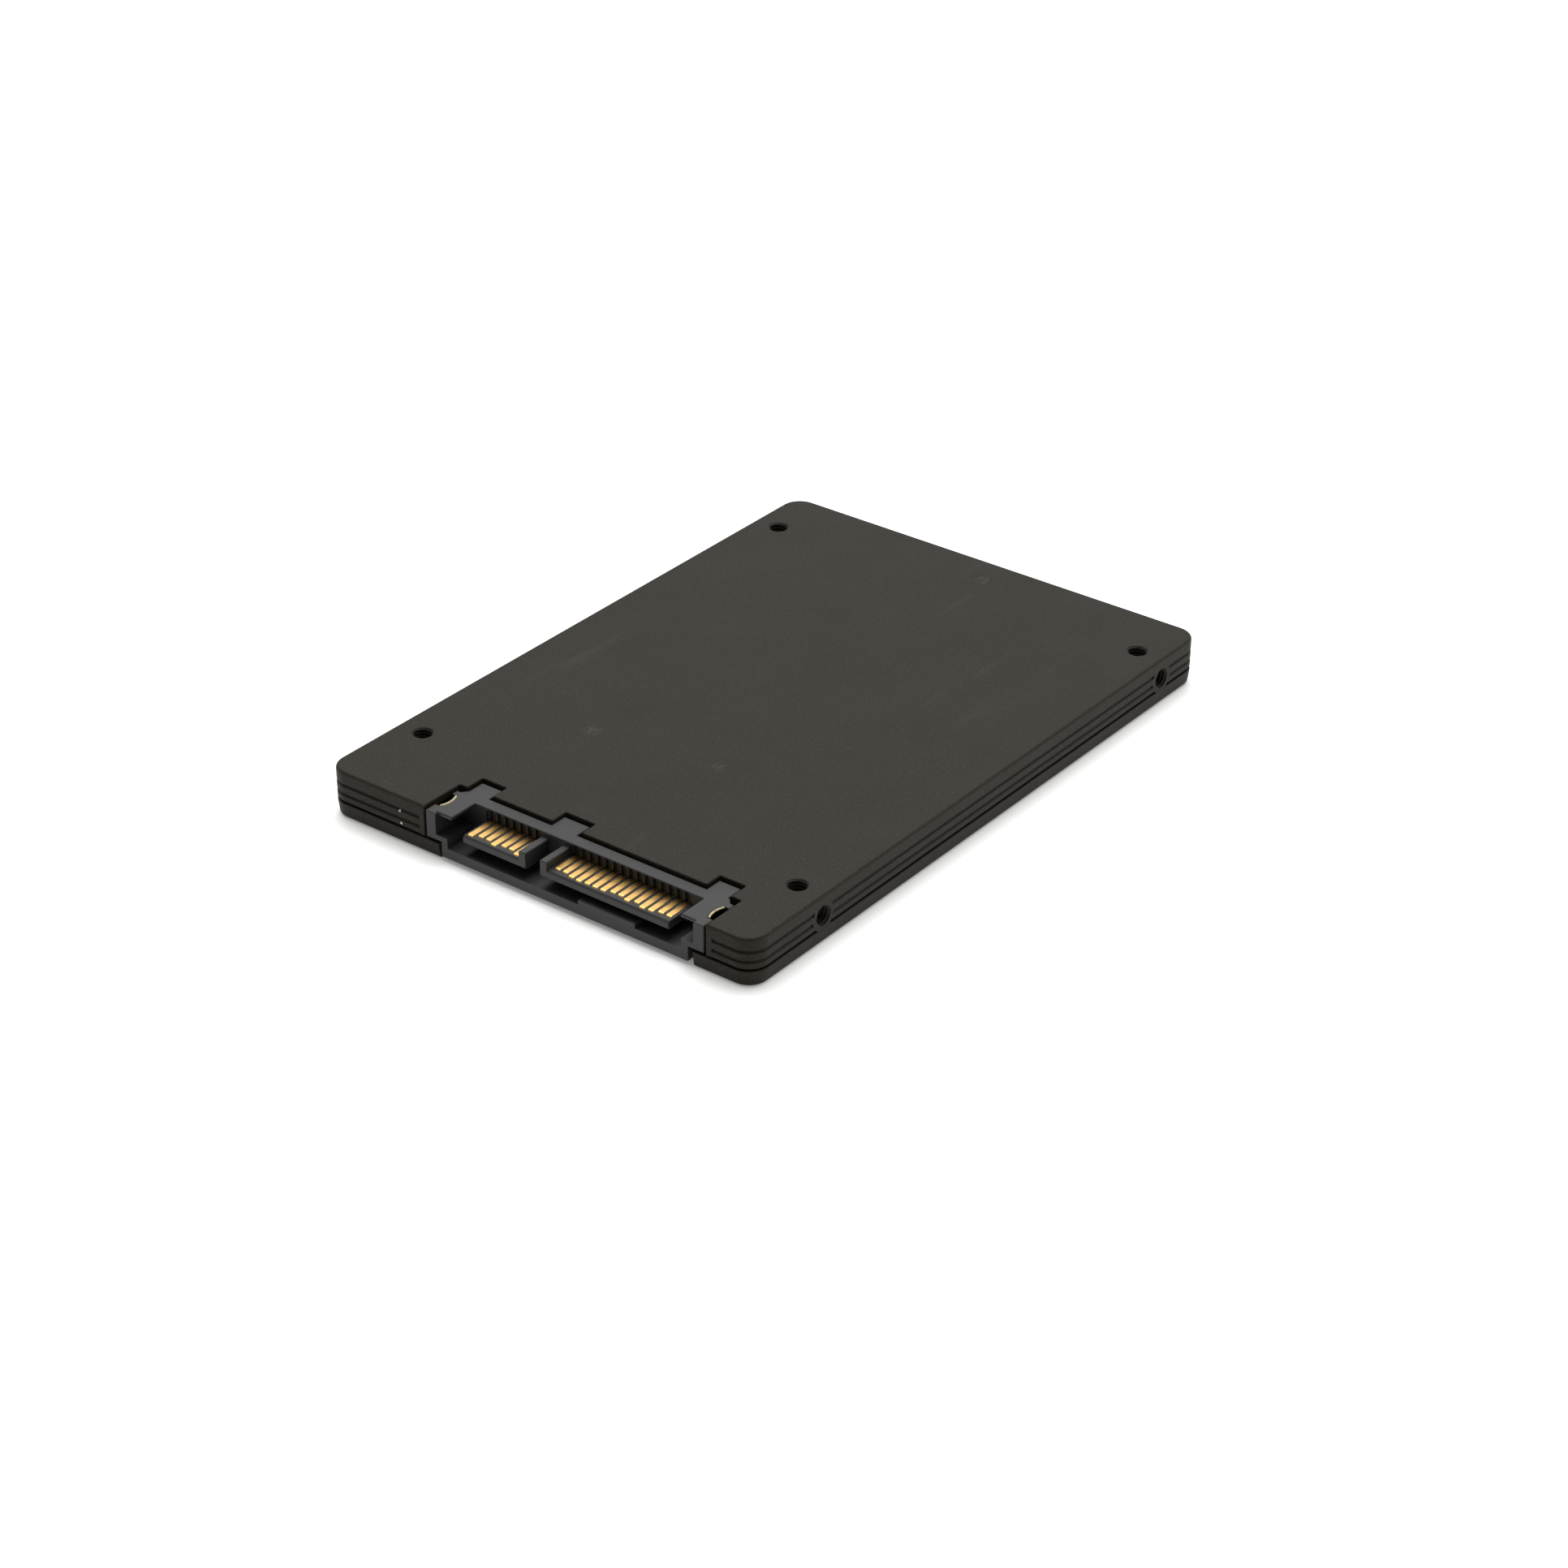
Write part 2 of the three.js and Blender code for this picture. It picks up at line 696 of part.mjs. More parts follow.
// A contact seen from the side: a rounded nose, a straight blade and a foot stepped down to the board.
function contactBlade({ name, x, tip }) {
  const top = tongueTop + contactRise;
  const bottom = top - contactThickness;
  const footTop = boardTop + contactThickness;
  const bend = contactTail - contactFoot;
  const step = bend + contactStep;
  const lag = contactThickness / 2;
  const noseCentre = tip + contactNose;
  const noseHeight = top - contactNose;
  const side = new THREE.Shape();
  side.moveTo(tip, noseHeight);
  side.lineTo(tip + contactThickness, noseHeight);
  side.absarc(noseCentre, noseHeight, contactNose - contactThickness, Math.PI, Math.PI / 2, true);
  side.lineTo(bend, bottom);
  side.lineTo(step, boardTop);
  side.lineTo(contactTail, boardTop);
  side.lineTo(contactTail, footTop);
  side.lineTo(step + lag, footTop);
  side.lineTo(bend + lag, top);
  side.lineTo(noseCentre, top);
  side.absarc(noseCentre, noseHeight, contactNose, Math.PI / 2, Math.PI, false);
  return meshOf(name, acrossX(side, x - contactWidth / 2, x + contactWidth / 2), materials.gold);
}

// An upright strip that bows inwards, held between the front and back walls of its notch.
function holdDown(side, name) {
  const ring = cut(
    clipPost(side, clipBow, clipBottom, clipTop),
    clipPost(side, clipBow - clipThickness, clipBottom - overcut, clipTop + overcut),
  );
  const [left, right] = outwards(side, clipOffset - overcut, clipOffset + clipBow / 2);
  const kept = block(left, right, notchFront, notchBack, 0, caseHeight);
  return meshOf(name, ring.intersect(kept), materials.clip);
}

function chip(name, part, bottom, height, material) {
  const { x, y, width, length } = part;
  const [halfWidth, halfLength] = [width / 2, length / 2];
  const body = block(x - halfWidth, x + halfWidth, y - halfLength, y + halfLength, bottom, bottom + height);
  return meshOf(name, body, material);
}

function nandChips() {
  const size = { width: nandWidth, length: nandLength };
  const places = nandYs.flatMap((y) => nandXs.map((x) => ({ x, y, ...size })));
  return places.flatMap((place, n) => [
    chip("nand_chip_" + (n + 1), place, boardTop, chipHeight, materials.chip),
    chip("nand_chip_" + (n + 5), place, boardBottom - chipHeight, chipHeight, materials.chip),
  ]);
}

// Soft pads that fill the space between the upper chips and the roof.
function thermalPads() {
  const bottom = boardTop + chipHeight;
  const height = caseHeight - roofThickness - bottom;
  const middle = (nandYs[0] + nandYs[1]) / 2;
  const nandPad = { x: 0, y: middle, width: nandPadWidth, length: nandPadLength };
  return [
    chip("controller_pad", controller, bottom, height, materials.pad),
    chip("nand_pad", nandPad, bottom, height, materials.pad),
  ];
}

function boardParts() {
  const reserves = capacitorYs.map((y) => ({ ...capacitor, y }));
  return [
    onBoard("controller_chip", controller, materials.chip),
    onBoard("memory_chip", memory, materials.chip),
    onBoard("power_regulator", regulator, materials.chip),
    onBoard("oscillator", oscillator, materials.can),
    ...inductors.map((part, n) => onBoard("inductor_" + (n + 1), part, materials.ferrite)),
    ...reserves.map((part, n) => onBoard("hold_up_capacitor_" + (n + 1), part, materials.tantalum)),
  ];
}

function onBoard(name, part, material) {
  return chip(name, part, boardTop, part.height, material);
}

const drive = new THREE.Group();
drive.add(housingShell());
drive.add(bottomCover());
drive.add(label());
drive.add(circuitBoard());
drive.add(connectorHousing());
drive.add(holdDown(-1, "hold_down_left"));
drive.add(holdDown(1, "hold_down_right"));
drive.add(...contacts.map(contactBlade));
drive.add(...numbered("cover_screw_", coverScrewX, coverScrewYs, coverScrew));
drive.add(...numbered("board_screw_", boardScrewX, boardScrewYs, boardScrew));
drive.add(...nandChips());
drive.add(...thermalPads());
drive.add(...boardParts());

export default drive;
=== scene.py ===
import math

import bmesh
import bpy
from mathutils import Matrix, Vector


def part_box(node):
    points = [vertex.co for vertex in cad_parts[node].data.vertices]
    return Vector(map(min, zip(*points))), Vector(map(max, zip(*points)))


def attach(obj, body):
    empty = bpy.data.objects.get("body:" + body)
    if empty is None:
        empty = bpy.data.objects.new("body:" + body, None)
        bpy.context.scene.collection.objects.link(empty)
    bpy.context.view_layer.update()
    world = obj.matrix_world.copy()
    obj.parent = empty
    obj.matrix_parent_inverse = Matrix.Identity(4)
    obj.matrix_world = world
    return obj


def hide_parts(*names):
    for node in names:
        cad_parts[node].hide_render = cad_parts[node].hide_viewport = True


# A 2.5-inch solid state drive, plug end towards the camera, mounting face up.
# The frame is in metres; every shape below is drawn in millimetres and scaled once when it is finished.

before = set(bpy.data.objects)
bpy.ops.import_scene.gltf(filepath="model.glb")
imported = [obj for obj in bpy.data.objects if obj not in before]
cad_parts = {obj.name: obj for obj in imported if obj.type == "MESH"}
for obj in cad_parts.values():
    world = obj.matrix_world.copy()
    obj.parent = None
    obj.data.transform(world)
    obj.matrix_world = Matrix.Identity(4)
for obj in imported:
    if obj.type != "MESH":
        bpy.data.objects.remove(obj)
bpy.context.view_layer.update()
perMetre = 1000.0  # millimetres


def span(node):
    low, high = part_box(node)
    return low * perMetre, high * perMetre


shellLow, shellHigh = span("housing_shell")
boardTop = span("circuit_board")[1].z
plugTop = span("connector_housing")[1].z

case = {
    "halfWidth": shellHigh.x,
    "halfLength": shellHigh.y,
    "top": shellHigh.z,
    "seam": shellLow.z,
    "cornerRadius": 3.0,
    "smallestCorner": 0.3,
    "cornerSteps": 14,
    "wall": 1.5,
    "roof": 1.0,
}
front = -case["halfLength"]
print("frame read: case", [round(2 * case["halfWidth"], 2), round(2 * case["halfLength"], 2), case["top"]])


def arc(centreX, centreY, radius, startDeg, endDeg, steps):
    turns = [math.radians(startDeg + (endDeg - startDeg) * n / steps) for n in range(steps + 1)]
    return [(centreX + radius * math.cos(t), centreY + radius * math.sin(t)) for t in turns]


def roundedOutline(halfX, halfY, radius, steps, centre=(0.0, 0.0)):
    points = []
    for quarter, (sideX, sideY) in enumerate([(1, -1), (1, 1), (-1, 1), (-1, -1)]):
        startDeg = -90 + 90 * quarter
        middle = (centre[0] + sideX * (halfX - radius), centre[1] + sideY * (halfY - radius))
        points += arc(*middle, radius, startDeg, startDeg + 90, steps)
    return points


def circleOutline(centreX, centreY, radius, steps=32):
    return arc(centreX, centreY, radius, 0, 360, steps)[:-1]


def softened(outline, radius, steps=4):
    # rounds every corner of a closed outline, inside or outside ones alike
    points = []
    for n, corner in enumerate(outline):
        here = Vector(corner)
        before = (Vector(outline[n - 1]) - here).normalized()
        after = (Vector(outline[(n + 1) % len(outline)]) - here).normalized()
        halfAngle = before.angle(after) / 2
        reach = radius / math.tan(halfAngle)
        start, end = here + before * reach, here + after * reach
        for k in range(steps + 1):
            t = k / steps
            points.append(tuple(start * (1 - t) ** 2 + here * 2 * t * (1 - t) + end * t ** 2))
    return points


def grown(outline, distance):
    # moves every side of a counterclockwise outline outwards
    wider = []
    for n, (x, y) in enumerate(outline):
        here, before, after = Vector((x, y)), Vector(outline[n - 1]), Vector(outline[(n + 1) % len(outline)])
        first, second = (here - before).normalized(), (after - here).normalized()
        out1, out2 = Vector((first.y, -first.x)), Vector((second.y, -second.x))
        mitre = (out1 + out2) / max(1 + out1.dot(out2), 0.2)  # the floor keeps sharp corners short
        wider.append(tuple(here + mitre * distance))
    return wider


def atHeight(outline, height):
    return [(x, y, height) for x, y in outline]


def caseRing(inset, height):
    halfX, halfY = case["halfWidth"] - inset, case["halfLength"] - inset
    radius = max(case["cornerRadius"] - inset, case["smallestCorner"])
    return atHeight(roundedOutline(halfX, halfY, radius, case["cornerSteps"]), height)


def loft(rings):
    # one closed solid through rings of equal length, capped at both ends
    count = len(rings[0])
    points = [Vector(point) for ring in rings for point in ring]
    faces = []
    for level in range(len(rings) - 1):
        for n in range(count):
            a, b = level * count + n, level * count + (n + 1) % count
            faces.append((a, b, b + count, a + count))
    last = (len(rings) - 1) * count
    faces.append(tuple(reversed(range(count))))
    faces.append(tuple(range(last, last + count)))
    return points, faces


def prism(outline, bottom, top):
    return loft([atHeight(outline, bottom), atHeight(outline, top)])


def block(left, right, near, far, bottom, top):
    return prism([(left, near), (right, near), (right, far), (left, far)], bottom, top)


def turned(centreX, centreY, profile, steps=32):
    # profile holds (radius, height) from one end to the other
    return loft([atHeight(circleOutline(centreX, centreY, radius, steps), height)
                 for radius, height in profile])


def acrossX(side, left, right):
    # a side outline of (y, z) points carried across the drive
    return loft([[(x, y, z) for y, z in side] for x in (left, right)])


def softPrism(outline, bottom, top, edge, foot=None):
    # a prism with both rims chamfered; foot sets the lower chamfer apart
    foot = edge if foot is None else foot
    return loft([atHeight(grown(outline, -foot), bottom), atHeight(outline, bottom + foot),
                 atHeight(outline, top - edge), atHeight(grown(outline, -edge), top)])


def softBlock(left, right, near, far, bottom, top, edge, corner=0.0, foot=None):
    outline = [(left, near), (right, near), (right, far), (left, far)]
    if corner:
        outline = softened(outline, corner, 3)
    return softPrism(outline, bottom, top, edge, foot)


def softAcross(side, left, right, edge):
    # carried across the drive like acrossX, with both ends chamfered
    inner = grown(side, -edge)
    rings = [(inner, left), (side, left + edge), (side, right - edge), (inner, right)]
    return loft([[(x, y, z) for y, z in outline] for outline, x in rings])


def flaredCutter(outline, bottom, top, edge, beyond=1.0):
    # cuts down from the top and chamfers the rim it leaves there
    return loft([atHeight(outline, bottom), atHeight(outline, top - edge),
                 atHeight(grown(outline, edge + beyond), top + beyond)])


def layAlongX(shape, originX, originZ, direction):
    # turns a shape that stands on z = 0 so that its axis points along X
    points, faces = shape
    laid = [Vector((originX + direction * p.z, p.y, originZ + direction * -p.x)) for p in points]
    return laid, faces


def moved(shape, x, y, z):
    points, faces = shape
    return [p + Vector((x, y, z)) for p in points], faces


def corners(x, ys):
    return [(side * x, y) for y in ys for side in (-1, 1)]


def makeObject(name, *shapes):
    build = bmesh.new()
    for points, faces in shapes:
        verts = [build.verts.new(point) for point in points]
        for face in faces:
            build.faces.new([verts[n] for n in face])
    bmesh.ops.recalc_face_normals(build, faces=build.faces)
    mesh = bpy.data.meshes.new(name)
    build.to_mesh(mesh)
    build.free()
    piece = bpy.data.objects.new(name, mesh)
    bpy.context.scene.collection.objects.link(piece)
    return piece


def combineObjects(target, operation, *tools):
    for tool in tools:
        modifier = target.modifiers.new("combine", "BOOLEAN")
        modifier.operation = operation
        modifier.solver = "MANIFOLD"
        modifier.object = tool
    graph = bpy.context.evaluated_depsgraph_get()
    mesh = bpy.data.meshes.new_from_object(target.evaluated_get(graph))
    target.modifiers.clear()
    target.data = mesh
    for tool in tools:
        bpy.data.objects.remove(tool)


def combine(target, operation, *shapes, overlapping=False):
    # joins shapes to the target or cuts them from it, all in one go unless they overlap one another
    tools = [makeObject("tool", shape) for shape in shapes] if overlapping else [makeObject("tool", *shapes)]
    combineObjects(target, operation, *tools)


finish = {"weldMm": 0.0008, "sharpDeg": 32.0}


def finishPiece(piece, material, node):
    # cleans the mesh, scales it to metres, sets its shading and ties it to the frame
    build = bmesh.new()
    build.from_mesh(piece.data)
    bmesh.ops.remove_doubles(build, verts=build.verts, dist=finish["weldMm"])
    bmesh.ops.dissolve_degenerate(build, edges=build.edges, dist=finish["weldMm"])
    bmesh.ops.recalc_face_normals(build, faces=build.faces)
    for face in build.faces:
        face.smooth = True
    for edge in build.edges:
        if len(edge.link_faces) == 2:
            edge.smooth = edge.calc_face_angle(0.0) < math.radians(finish["sharpDeg"])
    bmesh.ops.scale(build, vec=Vector((1, 1, 1)) / perMetre, verts=build.verts)
    build.to_mesh(piece.data)
    build.free()
    piece.modifiers.new("evenNormals", "WEIGHTED_NORMAL").keep_sharp = True
    piece.data.materials.clear()
    piece.data.materials.append(material)
    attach(piece, "root")
    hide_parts(node)


def linearColour(hexText):
    channels = [int(hexText[n:n + 2], 16) / 255 for n in (1, 3, 5)]
    return [c / 12.92 if c <= 0.04045 else ((c + 0.055) / 1.055) ** 2.4 for c in channels] + [1.0]


def addNode(tree, kind, settings=(), links=()):
    node = tree.nodes.new("ShaderNode" + kind)
    for key, value in dict(settings).items():
        if isinstance(key, int) or key in node.inputs:
            node.inputs[key].default_value = value
        else:
            setattr(node, key, value)
    for key, socket in dict(links).items():
        tree.links.new(socket, node.inputs[key])
    return node


def startMaterial(name, metallic=0.0, roughness=0.5, ior=1.5):
    material = bpy.data.materials.new(name)
    material.use_nodes = True
    tree = material.node_tree
    shader = tree.nodes["Principled BSDF"]
    shader.inputs["Metallic"].default_value = metallic
    shader.inputs["Roughness"].default_value = roughness
    shader.inputs["IOR"].default_value = ior
    place = addNode(tree, "TexCoord").outputs["Object"]
    return material, tree, shader, place


def noiseOf(tree, place, sizeMm, detail=2.0, stretch=(1, 1, 1)):
    # a noise whose blobs measure about sizeMm, drawn out along an axis by a stretch below one
    mapped = addNode(tree, "Mapping", {"Scale": stretch}, {"Vector": place}).outputs[0]
    settings = {"Scale": perMetre / sizeMm, "Detail": detail, "Roughness": 0.55}
    return addNode(tree, "TexNoise", settings, {"Vector": mapped}).outputs[0]


def ranged(tree, value, fromMin, fromMax, toMin, toMax):
    settings = {"From Min": fromMin, "From Max": fromMax, "To Min": toMin, "To Max": toMax}
    return addNode(tree, "MapRange", settings, {"Value": value}).outputs[0]


def blended(tree, factor, first, second):
    # a colour is either a fixed list or a socket; 6 and 7 are the colour inputs of a mix
    settings, links = {"data_type": "RGBA"}, {0: factor}
    for key, colour in ((6, first), (7, second)):
        (settings if isinstance(colour, list) else links)[key] = colour
    return addNode(tree, "Mix", settings, links).outputs[2]


def calculated(tree, operation, *values):
    # one sum on numbers or sockets
    settings = {"operation": operation}
    settings.update({n: value for n, value in enumerate(values) if isinstance(value, float)})
    links = {n: value for n, value in enumerate(values) if not isinstance(value, float)}
    return addNode(tree, "Math", settings, links).outputs[0]


def bumped(tree, shader, height, depthMm, strength):
    settings = {"Distance": depthMm / perMetre, "Strength": strength}
    bump = addNode(tree, "Bump", settings, {"Height": height}).outputs[0]
    tree.links.new(bump, shader.inputs["Normal"])


coat = {
    "shell": {"dark": "#1f1b15", "light": "#25211a", "roughness": (0.52, 0.60)},
    "cover": {"dark": "#1f1b15", "light": "#25211a", "roughness": (0.50, 0.58)},
    "specular": 0.13,
    "gritMm": 0.22,  # real grit is nearer 0.05 mm, drawn coarser so that it shows at all
    "gritDepthMm": 0.005,
    "gritStrength": 0.6,
    "mottleMm": 9.0,
    # grain is the lighter colour painted on the grains as glints
    "grain": "#575048",
    "grainGlintShare": 0.22,
    "scuff": "#5a554e",
    "streakMm": 5.0,
    "streakStretch": (1.0, 0.16, 1.0),
    "streakShare": 0.1,
    "rubMm": 0.5,
    "rubStretch": (1.0, 0.4, 1.0),
    "rubShare": 0.24,
    "scuffMarks": [(5.36, -19.42, 1.3), (-13.62, -22.02, 1.6), (2.14, 44.73, 1.5), (-7.66, 34.27, 0.4),
                   (-6.64, 27.89, 0.35), (-26.01, -48.49, 0.45)],  # x, y and radius on the top
    "nick": "#d8d4cc",
    "nickMarks": [(-22.25, front, 4.82, 0.26), (-22.05, front, 3.0, 0.22)],  # place and radius
}


def markMask(tree, place, x, y, z, radius):
    # one inside a small ball, fading out to its rim
    centre = tuple(v / perMetre for v in (x, y, z))
    distance = addNode(tree, "VectorMath", {"operation": "DISTANCE", 1: centre}, {0: place}).outputs["Value"]
    return ranged(tree, distance, 0.4 * radius / perMetre, radius / perMetre, 1.0, 0.0)


def powderCoatOverDieCastAluminium(name, look, nicks=(), scuffs=()):
    # fine-texture powder coat: a matte, faintly pebbled skin that scatters the highlights
    material, tree, shader, place = startMaterial(name, ior=1.5)
    shader.inputs["Specular IOR Level"].default_value = coat["specular"]
    grit = noiseOf(tree, place, coat["gritMm"], 1.0)
    mottle = noiseOf(tree, place, coat["mottleMm"], 4.0)
    tone = ranged(tree, mottle, 0.35, 0.65, 0.25, 0.75)
    colour = blended(tree, tone, linearColour(look["dark"]), linearColour(look["light"]))
    # handling has polished a few long, very faint streaks into the coat
    streaks = noiseOf(tree, place, coat["streakMm"], 5.0, coat["streakStretch"])
    streakMask = ranged(tree, streaks, 0.64, 0.76, 0.0, coat["streakShare"])
    colour = blended(tree, streakMask, colour, linearColour(coat["scuff"]))
    # painted glints: the coat's grains are drawn lighter one by one, where they would catch the light
    grainGlints = ranged(tree, grit, 0.55, 0.72, 0.0, coat["grainGlintShare"])
    colour = blended(tree, grainGlints, colour, linearColour(coat["grain"]))
    # small rubs where something hard has brushed the face
    rub = noiseOf(tree, place, coat["rubMm"], 3.0, coat["rubStretch"])
    for x, y, radius in scuffs:
        mark = markMask(tree, place, x, y, case["top"], radius)
        mask = calculated(tree, "MULTIPLY", mark, ranged(tree, rub, 0.4, 0.65, 0.0, coat["rubShare"]))
        colour = blended(tree, mask, colour, linearColour(coat["scuff"]))
    # nicks go through to the bright casting
    for nick in nicks:
        colour = blended(tree, markMask(tree, place, *nick), colour, linearColour(coat["nick"]))
    tree.links.new(colour, shader.inputs["Base Color"])
    tree.links.new(ranged(tree, mottle, 0.3, 0.7, *look["roughness"]), shader.inputs["Roughness"])
    bumped(tree, shader, grit, coat["gritDepthMm"], coat["gritStrength"])
    return material


plastic = {
    "dark": "#242424",
    "light": "#2c2c2b",
    "roughness": (0.42, 0.52),
    "specular": 0.27,
    "flowMm": 3.0,
    "flowStretch": (0.35, 1.0, 1.0),
    "textureMm": 0.12,
    "textureDepthMm": 0.002,
}


def glassFilledPolymerMoulded(name):
    # injection moulded plug body: satin grey with a trace of flow marks from the glass fibres
    material, tree, shader, place = startMaterial(name, ior=1.55)
    shader.inputs["Specular IOR Level"].default_value = plastic["specular"]
    flow = noiseOf(tree, place, plastic["flowMm"], 4.0, plastic["flowStretch"])
    tone = ranged(tree, flow, 0.35, 0.65, 0.0, 1.0)
    colour = blended(tree, tone, linearColour(plastic["dark"]), linearColour(plastic["light"]))
    tree.links.new(colour, shader.inputs["Base Color"])
    tree.links.new(ranged(tree, flow, 0.3, 0.7, *plastic["roughness"]), shader.inputs["Roughness"])
    bumped(tree, shader, noiseOf(tree, place, plastic["textureMm"], 1.0), plastic["textureDepthMm"], 0.5)
    return material


metals = {
    "gold": {"dark": "#ecbc6e", "light": "#f0c378", "roughness": (0.26, 0.31), "streakMm": 0.12,
             "stretch": (1.0, 0.05, 1.0)},
    "clip": {"dark": "#94886a", "light": "#c9bd98", "roughness": (0.14, 0.28), "streakMm": 0.3,
             "stretch": (1.0, 1.0, 0.2)},
    "blackZinc": {"dark": "#1d1d1f", "light": "#303034", "roughness": (0.30, 0.45), "streakMm": 0.2,
                  "stretch": (1.0, 1.0, 1.0)},
    "zinc": {"dark": "#a9acb0", "light": "#c9ccd0", "roughness": (0.22, 0.38), "streakMm": 0.2,
             "stretch": (1.0, 1.0, 1.0)},
    "nickel": {"dark": "#b4b2ad", "light": "#cfcdc8", "roughness": (0.18, 0.32), "streakMm": 0.2,
               "stretch": (0.1, 1.0, 1.0)},
}


def platedMetal(name, look):
    # plated and wiped metal: bright, with fine streaks the way the part was drawn or has rubbed
    material, tree, shader, place = startMaterial(name, metallic=1.0)
    streaks = noiseOf(tree, place, look["streakMm"], 3.0, look["stretch"])
    colour = blended(tree, ranged(tree, streaks, 0.3, 0.7, 0.0, 1.0),
                     linearColour(look["dark"]), linearColour(look["light"]))
    tree.links.new(colour, shader.inputs["Base Color"])
    tree.links.new(ranged(tree, streaks, 0.3, 0.7, *look["roughness"]), shader.inputs["Roughness"])
    bumped(tree, shader, streaks, 0.001, 0.3)
    return material


film = {"base": "#2b2c2e", "light": "#333538", "border": "#8f9296", "borderMm": 0.35, "borderInsetMm": 2.2,
        "fibreMm": 0.6, "waveMm": 4.0, "waveDepthMm": 0.01}


def satinPolyesterFilm(name, low, high):
    # blank printed film: satin charcoal with one thin printed frame line and no lettering
    material, tree, shader, place = startMaterial(name, roughness=0.38, ior=1.6)
    parts = addNode(tree, "SeparateXYZ", {}, {0: place})
    distances = []
    for axis in range(2):
        middle, half = (low[axis] + high[axis]) / 2 / perMetre, (high[axis] - low[axis]) / 2 / perMetre
        fromMiddle = calculated(tree, "ABSOLUTE", calculated(tree, "SUBTRACT", parts.outputs[axis], middle))
        distances.append(calculated(tree, "SUBTRACT", half, fromMiddle))
    edge = calculated(tree, "MINIMUM", *distances)
    line = calculated(tree, "COMPARE", edge, film["borderInsetMm"] / perMetre,
                      film["borderMm"] / 2 / perMetre)
    fibres = noiseOf(tree, place, film["fibreMm"], 4.0)
    base = blended(tree, fibres, linearColour(film["base"]), linearColour(film["light"]))
    colour = blended(tree, line, base, linearColour(film["border"]))
    tree.links.new(colour, shader.inputs["Base Color"])
    bumped(tree, shader, noiseOf(tree, place, film["waveMm"], 2.0), film["waveDepthMm"], 0.3)
    return material


solderMask = {"dark": "#0f3a24", "copper": "#1c5a38", "via": "#b9a878", "cellMm": 2.2,
              "cellRandomness": 0.35, "viaMm": 1.6, "traceDepthMm": 0.03}


def solderMaskOverFibreglass(name):
    # green solder mask over copper: raised traces show through as lighter lines, with tinned vias between
    material, tree, shader, place = startMaterial(name, roughness=0.3, ior=1.52)
    settings = {"feature": "DISTANCE_TO_EDGE", "distance": "EUCLIDEAN",
                "Scale": perMetre / solderMask["cellMm"], "Randomness": solderMask["cellRandomness"]}
    cells = addNode(tree, "TexVoronoi", settings, {"Vector": place}).outputs[0]
    traces = ranged(tree, cells, 0.05, 0.09, 1.0, 0.0)
    settings = {"distance": "EUCLIDEAN", "Scale": perMetre / solderMask["viaMm"]}
    dots = addNode(tree, "TexVoronoi", settings, {"Vector": place}).outputs[0]
    vias = ranged(tree, dots, 0.09, 0.12, 1.0, 0.0)
    colour = blended(tree, traces, linearColour(solderMask["dark"]), linearColour(solderMask["copper"]))
    colour = blended(tree, vias, colour, linearColour(solderMask["via"]))
    tree.links.new(colour, shader.inputs["Base Color"])
    bumped(tree, shader, traces, solderMask["traceDepthMm"], 0.5)
    return material


def mouldedBlock(name, dark, light, roughness, grainMm):
    # filled moulding compound, ground or pressed: a dull skin with fine specks of filler
    material, tree, shader, place = startMaterial(name, roughness=roughness, ior=1.55)
    grain = noiseOf(tree, place, grainMm, 4.0)
    colour = blended(tree, ranged(tree, grain, 0.35, 0.7, 0.0, 1.0), linearColour(dark), linearColour(light))
    tree.links.new(colour, shader.inputs["Base Color"])
    dullness = ranged(tree, grain, 0.3, 0.7, roughness - 0.06, roughness + 0.08)
    tree.links.new(dullness, shader.inputs["Roughness"])
    bumped(tree, shader, grain, 0.008, 0.5)
    return material


shellCoat = powderCoatOverDieCastAluminium("powderCoatShell", coat["shell"], coat["nickMarks"],
                                           coat["scuffMarks"])
coverCoat = powderCoatOverDieCastAluminium("powderCoatCover", coat["cover"])
plugPolymer = glassFilledPolymerMoulded("glassFilledPolymer")
contactGold = platedMetal("goldPlatedBronze", metals["gold"])
clipMetal = platedMetal("flashPlatedSpringSteel", metals["clip"])
blackZinc = platedMetal("blackZincSteel", metals["blackZinc"])
brightZinc = platedMetal("brightZincSteel", metals["zinc"])
canNickel = platedMetal("nickelCan", metals["nickel"])
labelFilm = satinPolyesterFilm("satinPolyesterFilm", *span("cover_label"))
boardMask = solderMaskOverFibreglass("solderMaskFibreglass")
chipEpoxy = mouldedBlock("epoxyMouldingCompound", "#121213", "#26262a", 0.55, 0.15)
padSilicone = mouldedBlock("filledSiliconePad", "#66707c", "#8d98a4", 0.8, 0.4)
ironPowder = mouldedBlock("pressedIronPowder", "#2a292b", "#4a494c", 0.6, 0.12)
tantalumEpoxy = mouldedBlock("yellowEpoxyTantalum", "#b0701c", "#d09034", 0.45, 0.2)
print("materials made")

# threads: M3 in the fastening holes, a finer one on the screws
boreThread = {"inner": 1.25, "outer": 1.5, "pitch": 0.5, "slope": 2.6, "flat": 1.3, "steps": 40}
screwThread = {"inner": 0.82, "outer": 0.95, "pitch": 0.4, "slope": 2.4, "flat": 1.0, "steps": 28}
ringsPerPitch = 6


